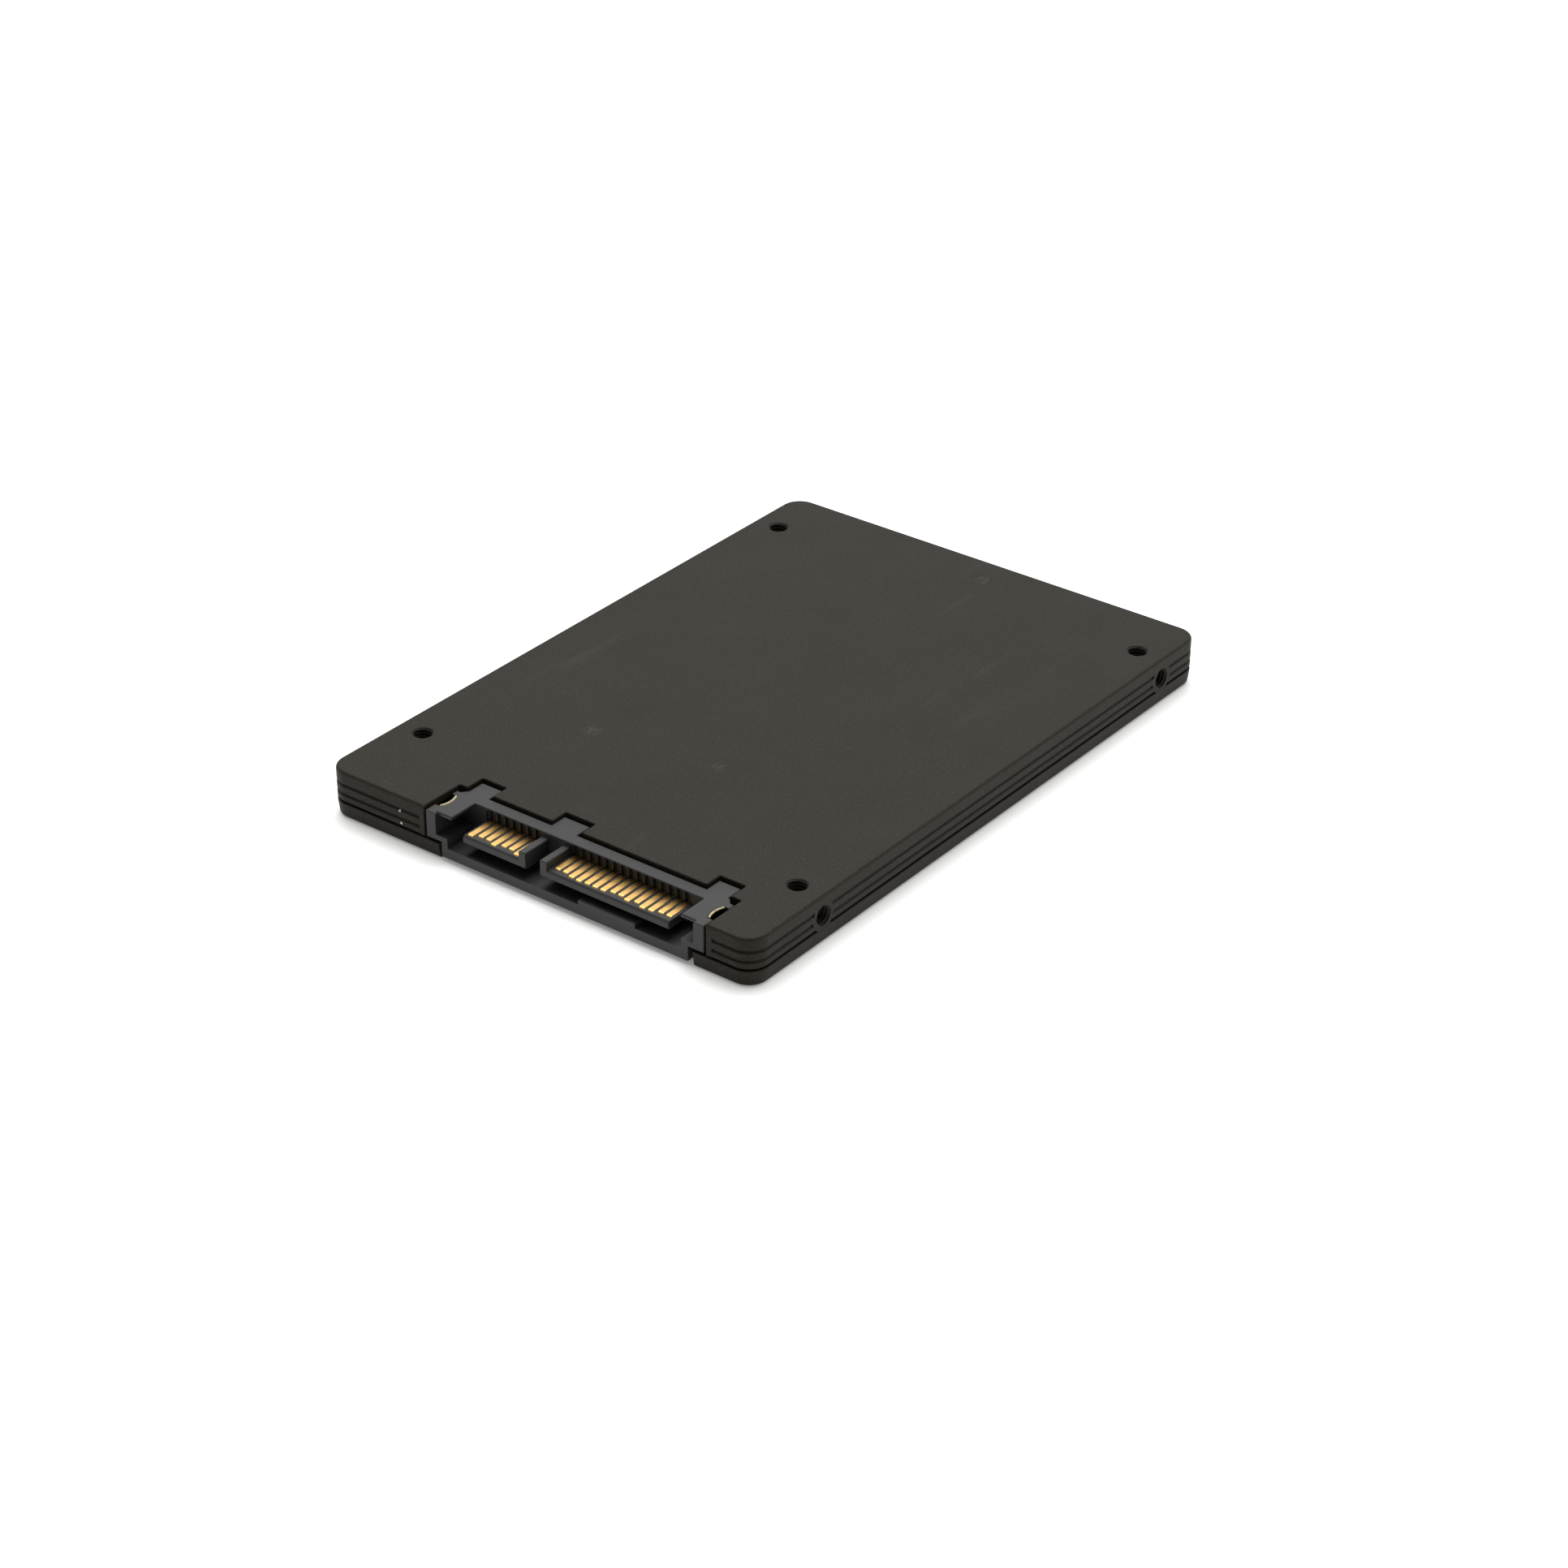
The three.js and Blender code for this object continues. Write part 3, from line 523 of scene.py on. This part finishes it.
def threadRings(thread, bottom, top):
    # rings up an axis whose radius follows the helix
    rings = []
    step = thread["pitch"] / ringsPerPitch
    for level in range(int((top - bottom) / step) + 1):
        height = bottom + level * step
        ring = []
        for n in range(thread["steps"]):
            turn = n / thread["steps"]
            angle = turn * 2 * math.pi
            phase = (height / thread["pitch"] - turn) % 1
            crest = max(0.0, 1 - abs(phase - 0.5) * thread["slope"])
            radius = thread["inner"] + (thread["outer"] - thread["inner"]) * min(1.0, crest * thread["flat"])
            ring.append((radius * math.cos(angle), radius * math.sin(angle), height))
        rings.append(ring)
    return rings


def threadedBore(depth, mouthRadius, mouthDepth, lip=0.05):
    # a threaded hole as its own cutter, standing on z = -depth with its mouth at z = 0
    rings = threadRings(boreThread, -depth, -mouthDepth)
    for radius, height in ((mouthRadius - mouthDepth, -mouthDepth), (mouthRadius - lip, -lip),
                           (mouthRadius + 0.8 * lip, 0.0), (mouthRadius + 1, 0.4)):
        rings.append(atHeight(circleOutline(0, 0, radius, boreThread["steps"]), height))
    return loft(rings)


# the shell: a die-cast cap with two grooves round its sides and an open seam under them
shell = {
    "topFillet": 0.43,
    "filletSteps": 6,
    "grooves": [3.63, 5.0],
    "grooveHalf": 0.36,
    "grooveDepth": 0.25,
    "grooveRoundness": 1.3,
    "grooveSteps": 10,
    "grooveStop": 0.8,
    "seamDepth": 0.45,
    "seamTop": 2.62,
    "seamEdge": 0.08,
    "stationX": 30.86,
    "stationYs": [-36.1, 40.5],
    "landRadius": 2.08,
    "faceHole": (4.0, 1.53, 0.16),  # depth, mouth radius and mouth depth
    "sideHole": (3.3, 1.5, 0.07),
    "sideHoleHeight": 4.05,
    "boss": {"outside": 0.75, "inside": 7.75, "half": 3.1, "bottom": 2.6},
    "fixingTop": 6.5,
    "coverScrewX": 31.3,
    "coverScrewYs": [-46.4, 46.4],
    "coverPostRadius": 2.6,
    "boardScrewX": 24.0,
    "boardScrewYs": [-37.4, 32.5],
    "boardPostRadius": 2.1,
    "screwBore": [(0.95, 1.0), (0.95, 5.6)],
    "cutout": [(-18.07, -53), (-18.07, -43.1), (-16.8, -43.1), (-16.8, -40.15), (-12.7, -40.15),
               (-12.7, -42.8), (-2.8, -42.8), (-2.8, -40.15), (2.04, -40.15), (2.04, -42.8),
               (22.04, -42.8), (22.04, -40.15), (26.1, -40.15), (26.1, -43.1), (27.7, -43.1), (27.7, -53)],
    "cutoutCorner": 0.22,
    "cutoutEdge": 0.12,
}
coverScrewPlaces = corners(shell["coverScrewX"], shell["coverScrewYs"])
boardScrewPlaces = corners(shell["boardScrewX"], shell["boardScrewYs"])


def filletRings(bottom, top, radius, steps):
    rings = [caseRing(0, bottom)]
    for n in range(steps + 1):
        t = math.radians(90 * n / steps)
        rings.append(caseRing(radius * (1 - math.cos(t)), top - radius + radius * math.sin(t)))
    return rings


def grooveCore():
    # what the grooves and the seam leave standing, wider than the case wherever there is nothing to cut
    outside, lead = -0.5, 0.03
    depth, top, edge = shell["seamDepth"], shell["seamTop"], shell["seamEdge"]
    levels = [(outside, -0.5), (outside, case["seam"] - 1), (depth, case["seam"] - 0.9), (depth, top - edge),
              (depth - edge, top), (edge, top), (-0.02, top + 0.1), (outside, top + 0.1)]
    half, steps = shell["grooveHalf"], shell["grooveSteps"]
    for height in shell["grooves"]:
        levels.append((outside, height - half))
        for n in range(steps + 1):
            t = -1 + 2 * n / steps
            fullness = (0.5 + 0.5 * math.cos(math.pi * t)) ** shell["grooveRoundness"]
            levels.append((-lead + (shell["grooveDepth"] + lead) * fullness, height + t * half))
        levels.append((outside, height + half))
    levels.append((outside, case["top"] + 1.5))
    return loft([caseRing(inset, height) for inset, height in levels])


def grooveBands():
    # the rings of metal that the grooves and the seam take away; they stop at the side holes and the plug
    wide = roundedOutline(case["halfWidth"] + 1.5, case["halfLength"] + 1.5, 4.0, case["cornerSteps"])
    bands = makeObject("bands", prism(wide, 1.6, case["top"] + 1.0))
    combine(bands, "DIFFERENCE", grooveCore())
    lands = [layAlongX(turned(0, y, [(shell["landRadius"], -2), (shell["landRadius"], 3)], 40),
                       side * case["halfWidth"], shell["sideHoleHeight"], side)
             for side, y in corners(1, shell["stationYs"])]
    left, right, stop = shell["cutout"][0][0], shell["cutout"][-1][0], shell["grooveStop"]
    stops = [block(left - stop, left + 1, front - 2, front + 1, shell["seamTop"], 9),
             block(right - 1, right + stop, front - 2, front + 1, shell["seamTop"], 9)]
    combine(bands, "DIFFERENCE", *lands, *stops)
    return bands


def shellCavity():
    # the hollow inside, less the bosses round the side holes and the posts for the screws
    wall, roof = case["wall"], case["top"] - case["roof"]
    cavity = makeObject("cavity", loft([caseRing(wall, case["seam"] - 1), caseRing(wall, roof)]))
    boss, top = shell["boss"], shell["fixingTop"]
    coverPost, boardPost = shell["coverPostRadius"], shell["boardPostRadius"]
    solids = []
    for x, y in corners(shell["stationX"], shell["stationYs"]):
        side = math.copysign(1, x)
        xs = sorted(side * (case["halfWidth"] - boss[key]) for key in ("outside", "inside"))
        solids.append(block(*xs, y - boss["half"], y + boss["half"], boss["bottom"], top))
    for x, y in coverScrewPlaces:
        solids.append(turned(x, y, [(coverPost, case["seam"] - 2), (coverPost, top)]))
    for x, y in boardScrewPlaces:
        solids.append(turned(x, y, [(boardPost, boardTop), (boardPost, top)]))
    combine(cavity, "DIFFERENCE", *solids)
    return cavity


def buildShell():
    top = case["top"]
    body = makeObject("housingDieCasting", loft(filletRings(case["seam"], top, shell["topFillet"],
                                                            shell["filletSteps"])))
    combineObjects(body, "DIFFERENCE", grooveBands())
    combineObjects(body, "DIFFERENCE", shellCavity())
    opening = list(reversed(softened(shell["cutout"], shell["cutoutCorner"], 3)))
    flared = grown(opening, shell["cutoutEdge"])
    combine(body, "DIFFERENCE", loft([atHeight(opening, -1), atHeight(opening, top - 0.1),
                                      atHeight(flared, top + 0.02), atHeight(flared, top + 1)]))
    combine(body, "DIFFERENCE", *[turned(x, y, shell["screwBore"])
                                  for x, y in coverScrewPlaces + boardScrewPlaces])
    combine(body, "DIFFERENCE", *[moved(threadedBore(*shell["faceHole"]), x, y, top)
                                  for x, y in corners(shell["stationX"], shell["stationYs"])])
    combine(body, "DIFFERENCE", *[layAlongX(moved(threadedBore(*shell["sideHole"]), 0, y, 0),
                                            side * case["halfWidth"], shell["sideHoleHeight"], side)
                                  for side, y in corners(1, shell["stationYs"])])
    finishPiece(body, shellCoat, "housing_shell")
    return len(body.data.polygons)


print("shell built", buildShell())

# the cover: a drafted tray under the shell, with a pocket for the label and a countersink at each corner
cover = {
    "fillet": 0.55,
    "filletSteps": 6,
    "draft": 0.18,
    "widestAt": 2.0,
    "topRound": 0.12,
    "floor": 0.9,
    "rim": 2.4,
    "postBottom": 0.4,
    "cutout": (-15.7, 25.6, -44.9),
    "cutoutCorner": 0.5,
    "labelGap": 0.1,
    "labelCorner": 1.6,
    "recessDepth": 0.15,
    "countersink": [(1.95, -0.5), (1.95, 0.06), (1.9, 0.1), (1.1, 1.0), (1.1, 3.5)],
}


def buildCover():
    fillet, steps, seam = cover["fillet"], cover["filletSteps"], case["seam"]
    rings = []
    for n in range(steps + 1):
        t = math.radians(90 * n / steps)
        rings.append(caseRing(fillet * (1 - math.sin(t)) + cover["draft"], fillet * (1 - math.cos(t))))
    rings += [caseRing(0.0, cover["widestAt"]), caseRing(0.03, seam - 0.06),
              caseRing(cover["topRound"], seam)]
    body = makeObject("coverTray", loft(rings))
    combine(body, "DIFFERENCE", loft([caseRing(cover["rim"], cover["floor"]), caseRing(cover["rim"], 4.0)]))
    posts = [turned(x, y, [(shell["coverPostRadius"], cover["postBottom"]), (shell["coverPostRadius"], seam)])
             for x, y in coverScrewPlaces]
    combine(body, "UNION", *posts)
    left, right, back = cover["cutout"]
    mouth = softened([(left, -60), (right, -60), (right, back), (left, back)], cover["cutoutCorner"], 4)
    low, high = span("cover_label")
    half, middle, gap = (high - low) / 2, (low + high) / 2, cover["labelGap"]
    pocket = roundedOutline(half.x + gap, half.y + gap, cover["labelCorner"], 6, (middle.x, middle.y))
    cutters = [loft([atHeight(grown(mouth, 1.1), -1.0), atHeight(mouth, 0.1), atHeight(mouth, 4)]),
               prism(pocket, -1, cover["recessDepth"])]
    cutters += [turned(x, y, cover["countersink"]) for x, y in coverScrewPlaces]
    combine(body, "DIFFERENCE", *cutters)
    finishPiece(body, coverCoat, "bottom_cover")
    return len(body.data.polygons)


print("cover built", buildCover())

# the plug: rail, arms and lip moulded in one with the two tongues
plug = {
    "centre": 4.8,
    "halfWidth": 22.5,
    "armThickness": 1.6,
    "armBack": -44.05,
    "armBottom": 2.7,
    "top": plugTop,
    "plateBottom": 6.2,
    "plateReach": 18.6,
    "plateSetback": 0.5,
    "plateEdge": 0.15,
    "guideFloor": 3.5,
    "shoulder": 21.2,
    "shoulderBevel": 0.7,
    "railFront": -45.08,
    "railBack": -43.2,
    "railBottom": 1.2,
    "railTop": 4.2,
    "lip": (20.04, 0.55, 2.05),  # half width, bottom and top
    "lipInner": 19.0,
    "pad": (7.4, 16.5, 2.76),  # left, right and top
    "tabs": [(-16.4, -13.05), (-2.6, 1.55), (22.35, 25.7)],
    "tabBack": -40.65,
    "tongues": [(-11.895, -1.485), (0.925, 21.495)],
    "tongueHeights": (3.5, 4.73),
    "tip": -49.69,
    "tipBevel": 0.25,
    "keys": [(-2.585, -1.485), (0.925, 2.025)],
    "keyTop": 5.9,
    "edge": 0.08,
    "padEdge": 0.1,
    "corner": 0.12,
    "outerCorner": 0.15,
    "notch": (-48.25, -45.05),
    "combs": [(-11.9, -2.5), (1.94, 21.5)],
    "combSetback": 0.3,
    "combDepth": 0.6,
    "combTop": 6.25,
}

# the contacts: gold blades; a mate of 1 reaches furthest forward and joins first
contact = {
    "pitch": 1.27,
    "width": 0.84,
    "thickness": 0.2,
    "top": 4.83,
    "nose": 0.4,
    "edge": 0.045,
    "tail": -41.3,
    "bendAhead": 1.5,
    "slip": 0.025,
    "tips": {1: -49.3, 2: -49.15, 3: -48.75},
    "rows": [("signal", -11.075, [1, 3, 3, 1, 3, 3, 1]),
             ("power", 2.895, [3, 3, 2, 1, 2, 2, 2, 3, 3, 2, 3, 1, 2, 3, 3])],
}
contactPlaces = [(name, n + 1, first + contact["pitch"] * n, contact["tips"][mate])
                 for name, first, mates in contact["rows"] for n, mate in enumerate(mates)]

# the hold-downs: upright strips of sprung sheet that bow inwards, each in a notch of its arm
clip = {"offset": 21.22, "bow": 3.4, "thickness": 0.35, "bottom": 3.0, "top": 6.64, "edge": 0.09,
        "slip": 0.03, "steps": 24}


def clipArc(side, radius):
    # a strip's curve from the near end of its notch to the far one
    near, far = plug["notch"]
    reachDeg = math.degrees(math.asin((far - near) / 2 / clip["bow"]))
    x, y = plug["centre"] + side * (clip["offset"] + clip["bow"]), (near + far) / 2
    middleDeg = 180 if side > 0 else 0
    return arc(x, y, radius, middleDeg + side * reachDeg, middleDeg - side * reachDeg, clip["steps"])


def plugFrame():
    # the arms and the rail as one block, with the lip under them and the tabs behind
    c, half, edge, corner = plug["centre"], plug["halfWidth"], plug["edge"], plug["corner"]
    shoulder, rail, railBack, armBack = plug["shoulder"], plug["railFront"], plug["railBack"], plug["armBack"]
    slanted = shoulder + plug["shoulderBevel"]
    outline = [(c - half, front), (c + half, front), (c + half, armBack), (c + slanted, armBack),
               (c + shoulder, railBack), (c - shoulder, railBack), (c - slanted, armBack),
               (c - half, armBack)]
    arms = softPrism(softened(outline, plug["outerCorner"], 3), plug["armBottom"], plug["top"], edge)
    body = makeObject("plugMoulding", arms)
    lipHalf, lipBottom = plug["lip"][:2]
    extras = [softBlock(c - shoulder, c + shoulder, rail - 0.3, railBack, plug["railBottom"],
                        plug["railTop"], edge),
              softBlock(c - lipHalf, c + lipHalf, front, rail + 0.4, lipBottom, plug["guideFloor"],
                        edge, corner)]
    extras += [softBlock(left, right, railBack - 1, plug["tabBack"], boardTop, plug["top"], edge, corner)
               for left, right in plug["tabs"]]
    combine(body, "UNION", *extras, overlapping=True)
    return body


def openPlug(body):
    # hollows the space between the arms, under their plates and above the lip
    c, rail, top, floor = plug["centre"], plug["railFront"], plug["top"], plug["guideFloor"]
    inner = plug["halfWidth"] - plug["armThickness"]
    ahead = front - 1

    def plan(halfWidth, back):
        return [(c - halfWidth, ahead), (c + halfWidth, ahead), (c + halfWidth, back), (c - halfWidth, back)]
    cutters = [
        flaredCutter(softened(plan(plug["plateReach"], rail), plug["corner"], 3), floor, top, plug["edge"]),
        prism(plan(inner, rail), floor, plug["plateBottom"]),
        flaredCutter(plan(inner, front + plug["plateSetback"]), floor, top, plug["plateEdge"]),
        prism(plan(plug["lipInner"], rail), plug["lip"][2], floor + 1),
    ]
    combine(body, "DIFFERENCE", *cutters, overlapping=True)


def addTongues(body):
    low, high = plug["tongueHeights"]
    bevel, tip, rail, padEdge = plug["tipBevel"], plug["tip"], plug["railFront"], plug["padEdge"]
    root = rail + 0.5
    side = [(tip, low + bevel), (tip + bevel, low), (root, low), (root, high), (tip + bevel, high),
            (tip, high - bevel)]
    extras = [softAcross(side, *tongue, plug["edge"]) for tongue in plug["tongues"]]
    extras += [softBlock(*key, tip, root, high - 0.5, plug["keyTop"], padEdge, plug["corner"])
               for key in plug["keys"]]
    left, right, padTop = plug["pad"]
    padBottom = plug["lip"][2] - 0.5
    extras.append(softBlock(left, right, front, rail + 0.3, padBottom, padTop, padEdge, foot=0.01))
    combine(body, "UNION", *extras, overlapping=True)


def contactSlot(x, tip):
    # the groove a contact lies in, which carries on up the rail as one slot of the comb
    slip, nose, high = contact["slip"], contact["nose"], contact["top"] + contact["slip"]
    half = contact["width"] / 2 + slip
    bottom, noseBottom = contact["top"] - contact["thickness"] - slip, contact["top"] - nose - slip
    rail, behind, combTop = plug["railFront"], plug["railBack"] + 1, plug["combTop"]
    ahead, deep = rail - 0.5, rail + plug["combDepth"]
    slot = [(tip - slip, noseBottom), (tip + nose, noseBottom), (tip + nose, bottom), (behind, bottom),
            (behind, high), (deep, high), (deep, combTop), (ahead, combTop + 0.4), (ahead, high + 0.3),
            (tip - slip, high + 0.3)]
    return acrossX(slot, x - half, x + half)


def clipNotch(side):
    curve = clipArc(side, clip["bow"] + clip["slip"])
    outer = plug["centre"] + side * (plug["halfWidth"] + 1)
    outline = [(outer, curve[0][1]), *curve, (outer, curve[-1][1])]
    return flaredCutter(outline if side < 0 else outline[::-1], 1, plug["top"], 0.05, 0.3)


def buildPlug():
    body = plugFrame()
    openPlug(body)
    addTongues(body)
    # the rail is set back behind the comb first, because these blocks overlap the slots
    ahead, back = plug["railFront"] - 0.5, plug["railFront"] + plug["combSetback"]
    combine(body, "DIFFERENCE", *[block(left, right, ahead, back, plug["tongueHeights"][1], plug["combTop"])
                                  for left, right in plug["combs"]])
    slots = [contactSlot(x, tip) for _, _, x, tip in contactPlaces]
    combine(body, "DIFFERENCE", clipNotch(-1), clipNotch(1), *slots)
    finishPiece(body, plugPolymer, "connector_housing")
    return len(body.data.polygons)


print("plug built", buildPlug())


def buildContact(row, number, x, tip):
    top, thick, nose, tail = contact["top"], contact["thickness"], contact["nose"], contact["tail"]
    bend, foot = tail - contact["bendAhead"], boardTop
    inner = arc(tip + nose, top - nose, nose - thick, 180, 90, 5)
    outer = arc(tip + nose, top - nose, nose, 90, 180, 8)
    side = [*inner, (bend, top - thick), (bend + 0.5, foot), (tail, foot), (tail, foot + thick),
            (bend + 0.6, foot + thick), (bend + 0.1, top), *outer]
    half = contact["width"] / 2
    piece = makeObject(f"{row}Blade{number}", softAcross(side, x - half, x + half, contact["edge"]))
    finishPiece(piece, contactGold, f"{row}_contact_{number}")


for place in contactPlaces:
    buildContact(*place)
print("contacts built", len(contactPlaces))


def buildClip(side, name, node):
    thick, bottom, top, edge = clip["thickness"], clip["bottom"], clip["top"], clip["edge"]
    profile = [(thick, bottom), (0, bottom), (0, top - edge), (edge, top), (thick - edge, top),
               (thick, top - edge)]
    curves = [clipArc(side, clip["bow"] - depth) for depth, height in profile]
    rings = [[(*curve[n], height) for curve, (depth, height) in zip(curves, profile)]
             for n in range(clip["steps"] + 1)]
    finishPiece(makeObject(name, loft(rings)), clipMetal, node)


buildClip(-1, "clipLeft", "hold_down_left")
buildClip(1, "clipRight", "hold_down_right")
print("clips built")

# screws: countersunk ones hold the cover, pan heads hold the board; head holds (radius, height) upwards
coverScrew = {"head": [(1.6, 0.05), (1.72, 0.08), (1.72, 0.15), (1.0, 0.87), (0.82, 0.95)],
              "shank": (1.1, 4.5), "recess": 0.62}
boardScrew = {"head": [(1.1, 2.0), (1.5, 2.08), (1.75, 2.3), (1.8, 2.5), (1.8, 2.88), (0.82, 2.9)],
              "shank": (3.0, 5.3), "recess": 0.5}
driver = {"reach": 0.98, "half": 0.24, "mouth": 1.25, "root": 0.45}


def crossCutter(x, y, bottom, depth):
    # a driver's cross, open at the bottom and narrower as it goes up into the head
    def cross(scale):
        reach, half = driver["reach"] * scale, driver["half"] * scale
        quarter = [(reach, -half), (reach, half), (half, half)]
        points = []
        for c, s in [(1, 0), (0, 1), (-1, 0), (0, -1)]:
            points += [(px * c - py * s, px * s + py * c) for px, py in quarter]
        return [(x + px, y + py) for px, py in points]
    return loft([atHeight(cross(driver["mouth"]), bottom - 0.3), atHeight(cross(1.0), bottom + 0.05),
                 atHeight(cross(driver["root"]), bottom + depth)])


def buildScrew(screw, x, y, material, name, node):
    head, steps = screw["head"], screwThread["steps"]
    headRings = [atHeight(circleOutline(0, 0, radius, steps), height) for radius, height in head]
    shape = loft(headRings + threadRings(screwThread, *screw["shank"]))
    piece = makeObject(name, moved(shape, x, y, 0))
    combine(piece, "DIFFERENCE", crossCutter(x, y, head[0][1], screw["recess"]))
    finishPiece(piece, material, node)


for n, (x, y) in enumerate(coverScrewPlaces, 1):
    buildScrew(coverScrew, x, y, blackZinc, f"coverScrew{n}", f"cover_screw_{n}")
for n, (x, y) in enumerate(boardScrewPlaces, 1):
    buildScrew(boardScrew, x, y, brightZinc, f"boardScrew{n}", f"board_screw_{n}")
print("screws built")

# the label: a blank film in the cover's pocket
label = {"corner": 1.5, "edge": 0.02}


def buildLabel():
    low, high = span("cover_label")
    half, middle = (high - low) / 2, (low + high) / 2
    outline = roundedOutline(half.x, half.y, label["corner"], 8, (middle.x, middle.y))
    piece = makeObject("labelFilm", softPrism(outline, low.z, high.z, label["edge"]))
    finishPiece(piece, labelFilm, "cover_label")


buildLabel()
print("label built")

# board and parts keep their CAD shapes inside the closed case and take real finishes
inside = {
    "circuit_board": boardMask,
    "controller_chip": chipEpoxy,
    "memory_chip": chipEpoxy,
    "power_regulator": chipEpoxy,
    "oscillator": canNickel,
    "controller_pad": padSilicone,
    "nand_pad": padSilicone,
}
inside.update({f"nand_chip_{n}": chipEpoxy for n in range(1, 9)})
inside.update({f"inductor_{n}": ironPowder for n in range(1, 4)})
inside.update({f"hold_up_capacitor_{n}": tantalumEpoxy for n in range(1, 5)})
for node, material in inside.items():
    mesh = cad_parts[node].data
    mesh.materials.clear()
    mesh.materials.append(material)
print("inner parts finished", len(inside))

# stage: pale floor that runs out of view, broad light from above and behind, darker towards the camera
stage = {
    "floorSize": 6.0,
    "floorDrop": 0.00002,  # metres below the cover, so the two faces don't coincide
    "floorDark": "#f2f2f0",
    "floorLight": "#f8f8f7",
    "floorGrainMm": 40.0,
    "floorGlow": 0.18,
    "worldBack": 1.15,
    "worldFront": 0.05,
    "worldAxis": (-0.3, 0.954, 0.0),
    "softboxPower": 8.0,
    "softboxSize": 0.8,
    "softboxPlace": (-0.15, 0.2, 0.9),
}


def buildFloor():
    bpy.ops.mesh.primitive_plane_add(size=stage["floorSize"], location=(0, 0, -stage["floorDrop"]))
    floor = bpy.context.object
    floor.name = "floor"
    material, tree, shader, place = startMaterial("paleFloor", roughness=0.8)
    grain = noiseOf(tree, place, stage["floorGrainMm"], 2.0)
    colour = blended(tree, grain, linearColour(stage["floorDark"]), linearColour(stage["floorLight"]))
    tree.links.new(colour, shader.inputs["Base Color"])
    shader.inputs["Emission Color"].default_value = (1, 1, 1, 1)
    shader.inputs["Emission Strength"].default_value = stage["floorGlow"]
    floor.data.materials.append(material)


def buildWorld():
    # the room's walls: bright behind the drive, dim in front of it
    world = bpy.data.worlds.new("softRoom")
    bpy.context.scene.world = world
    world.use_nodes = True
    tree = world.node_tree
    background = tree.nodes["Background"]
    ray = addNode(tree, "TexCoord").outputs["Generated"]
    settings = {"operation": "DOT_PRODUCT", 1: stage["worldAxis"]}
    along = addNode(tree, "VectorMath", settings, {0: ray}).outputs["Value"]
    level = ranged(tree, along, -1.0, 0.6, stage["worldFront"], stage["worldBack"])
    background.inputs["Color"].default_value = (1, 1, 1, 1)
    tree.links.new(level, background.inputs["Strength"])


def buildSoftbox():
    light = bpy.data.lights.new("overheadSoftbox", "AREA")
    light.shape = "DISK"
    light.size = stage["softboxSize"]
    light.energy = stage["softboxPower"]
    lamp = bpy.data.objects.new("overheadSoftbox", light)
    bpy.context.scene.collection.objects.link(lamp)
    lamp.location = stage["softboxPlace"]
    lamp.rotation_euler = (-Vector(stage["softboxPlace"])).to_track_quat("-Z", "Y").to_euler()


buildFloor()
buildWorld()
buildSoftbox()

# camera: a long lens looking down at the plug's end from the right
view = {"azimuthDeg": 37.316, "elevationDeg": 30.286, "rollDeg": 0.248, "distance": 0.500157, "lens": 87.14,
        "target": (0.007453, -0.008144, 0.0)}


def buildCamera():
    azimuth, elevation, roll = (math.radians(view[key]) for key in ("azimuthDeg", "elevationDeg", "rollDeg"))
    back = Vector((math.sin(azimuth) * math.cos(elevation), -math.cos(azimuth) * math.cos(elevation),
                   math.sin(elevation)))
    right = Vector((math.cos(azimuth), math.sin(azimuth), 0))
    up = back.cross(right)
    turnedRight = right * math.cos(roll) + up * math.sin(roll)
    turnedUp = up * math.cos(roll) - right * math.sin(roll)
    data = bpy.data.cameras.new("camera")
    data.lens = view["lens"]
    data.sensor_width = 36.0
    data.clip_start = 0.01
    camera = bpy.data.objects.new("camera", data)
    bpy.context.scene.collection.objects.link(camera)
    axes = Matrix((turnedRight, turnedUp, back)).transposed().to_4x4()
    camera.matrix_world = Matrix.Translation(Vector(view["target"]) + back * view["distance"]) @ axes
    bpy.context.scene.camera = camera


buildCamera()
bpy.context.scene.view_settings.view_transform = "Standard"
print("stage and camera set")
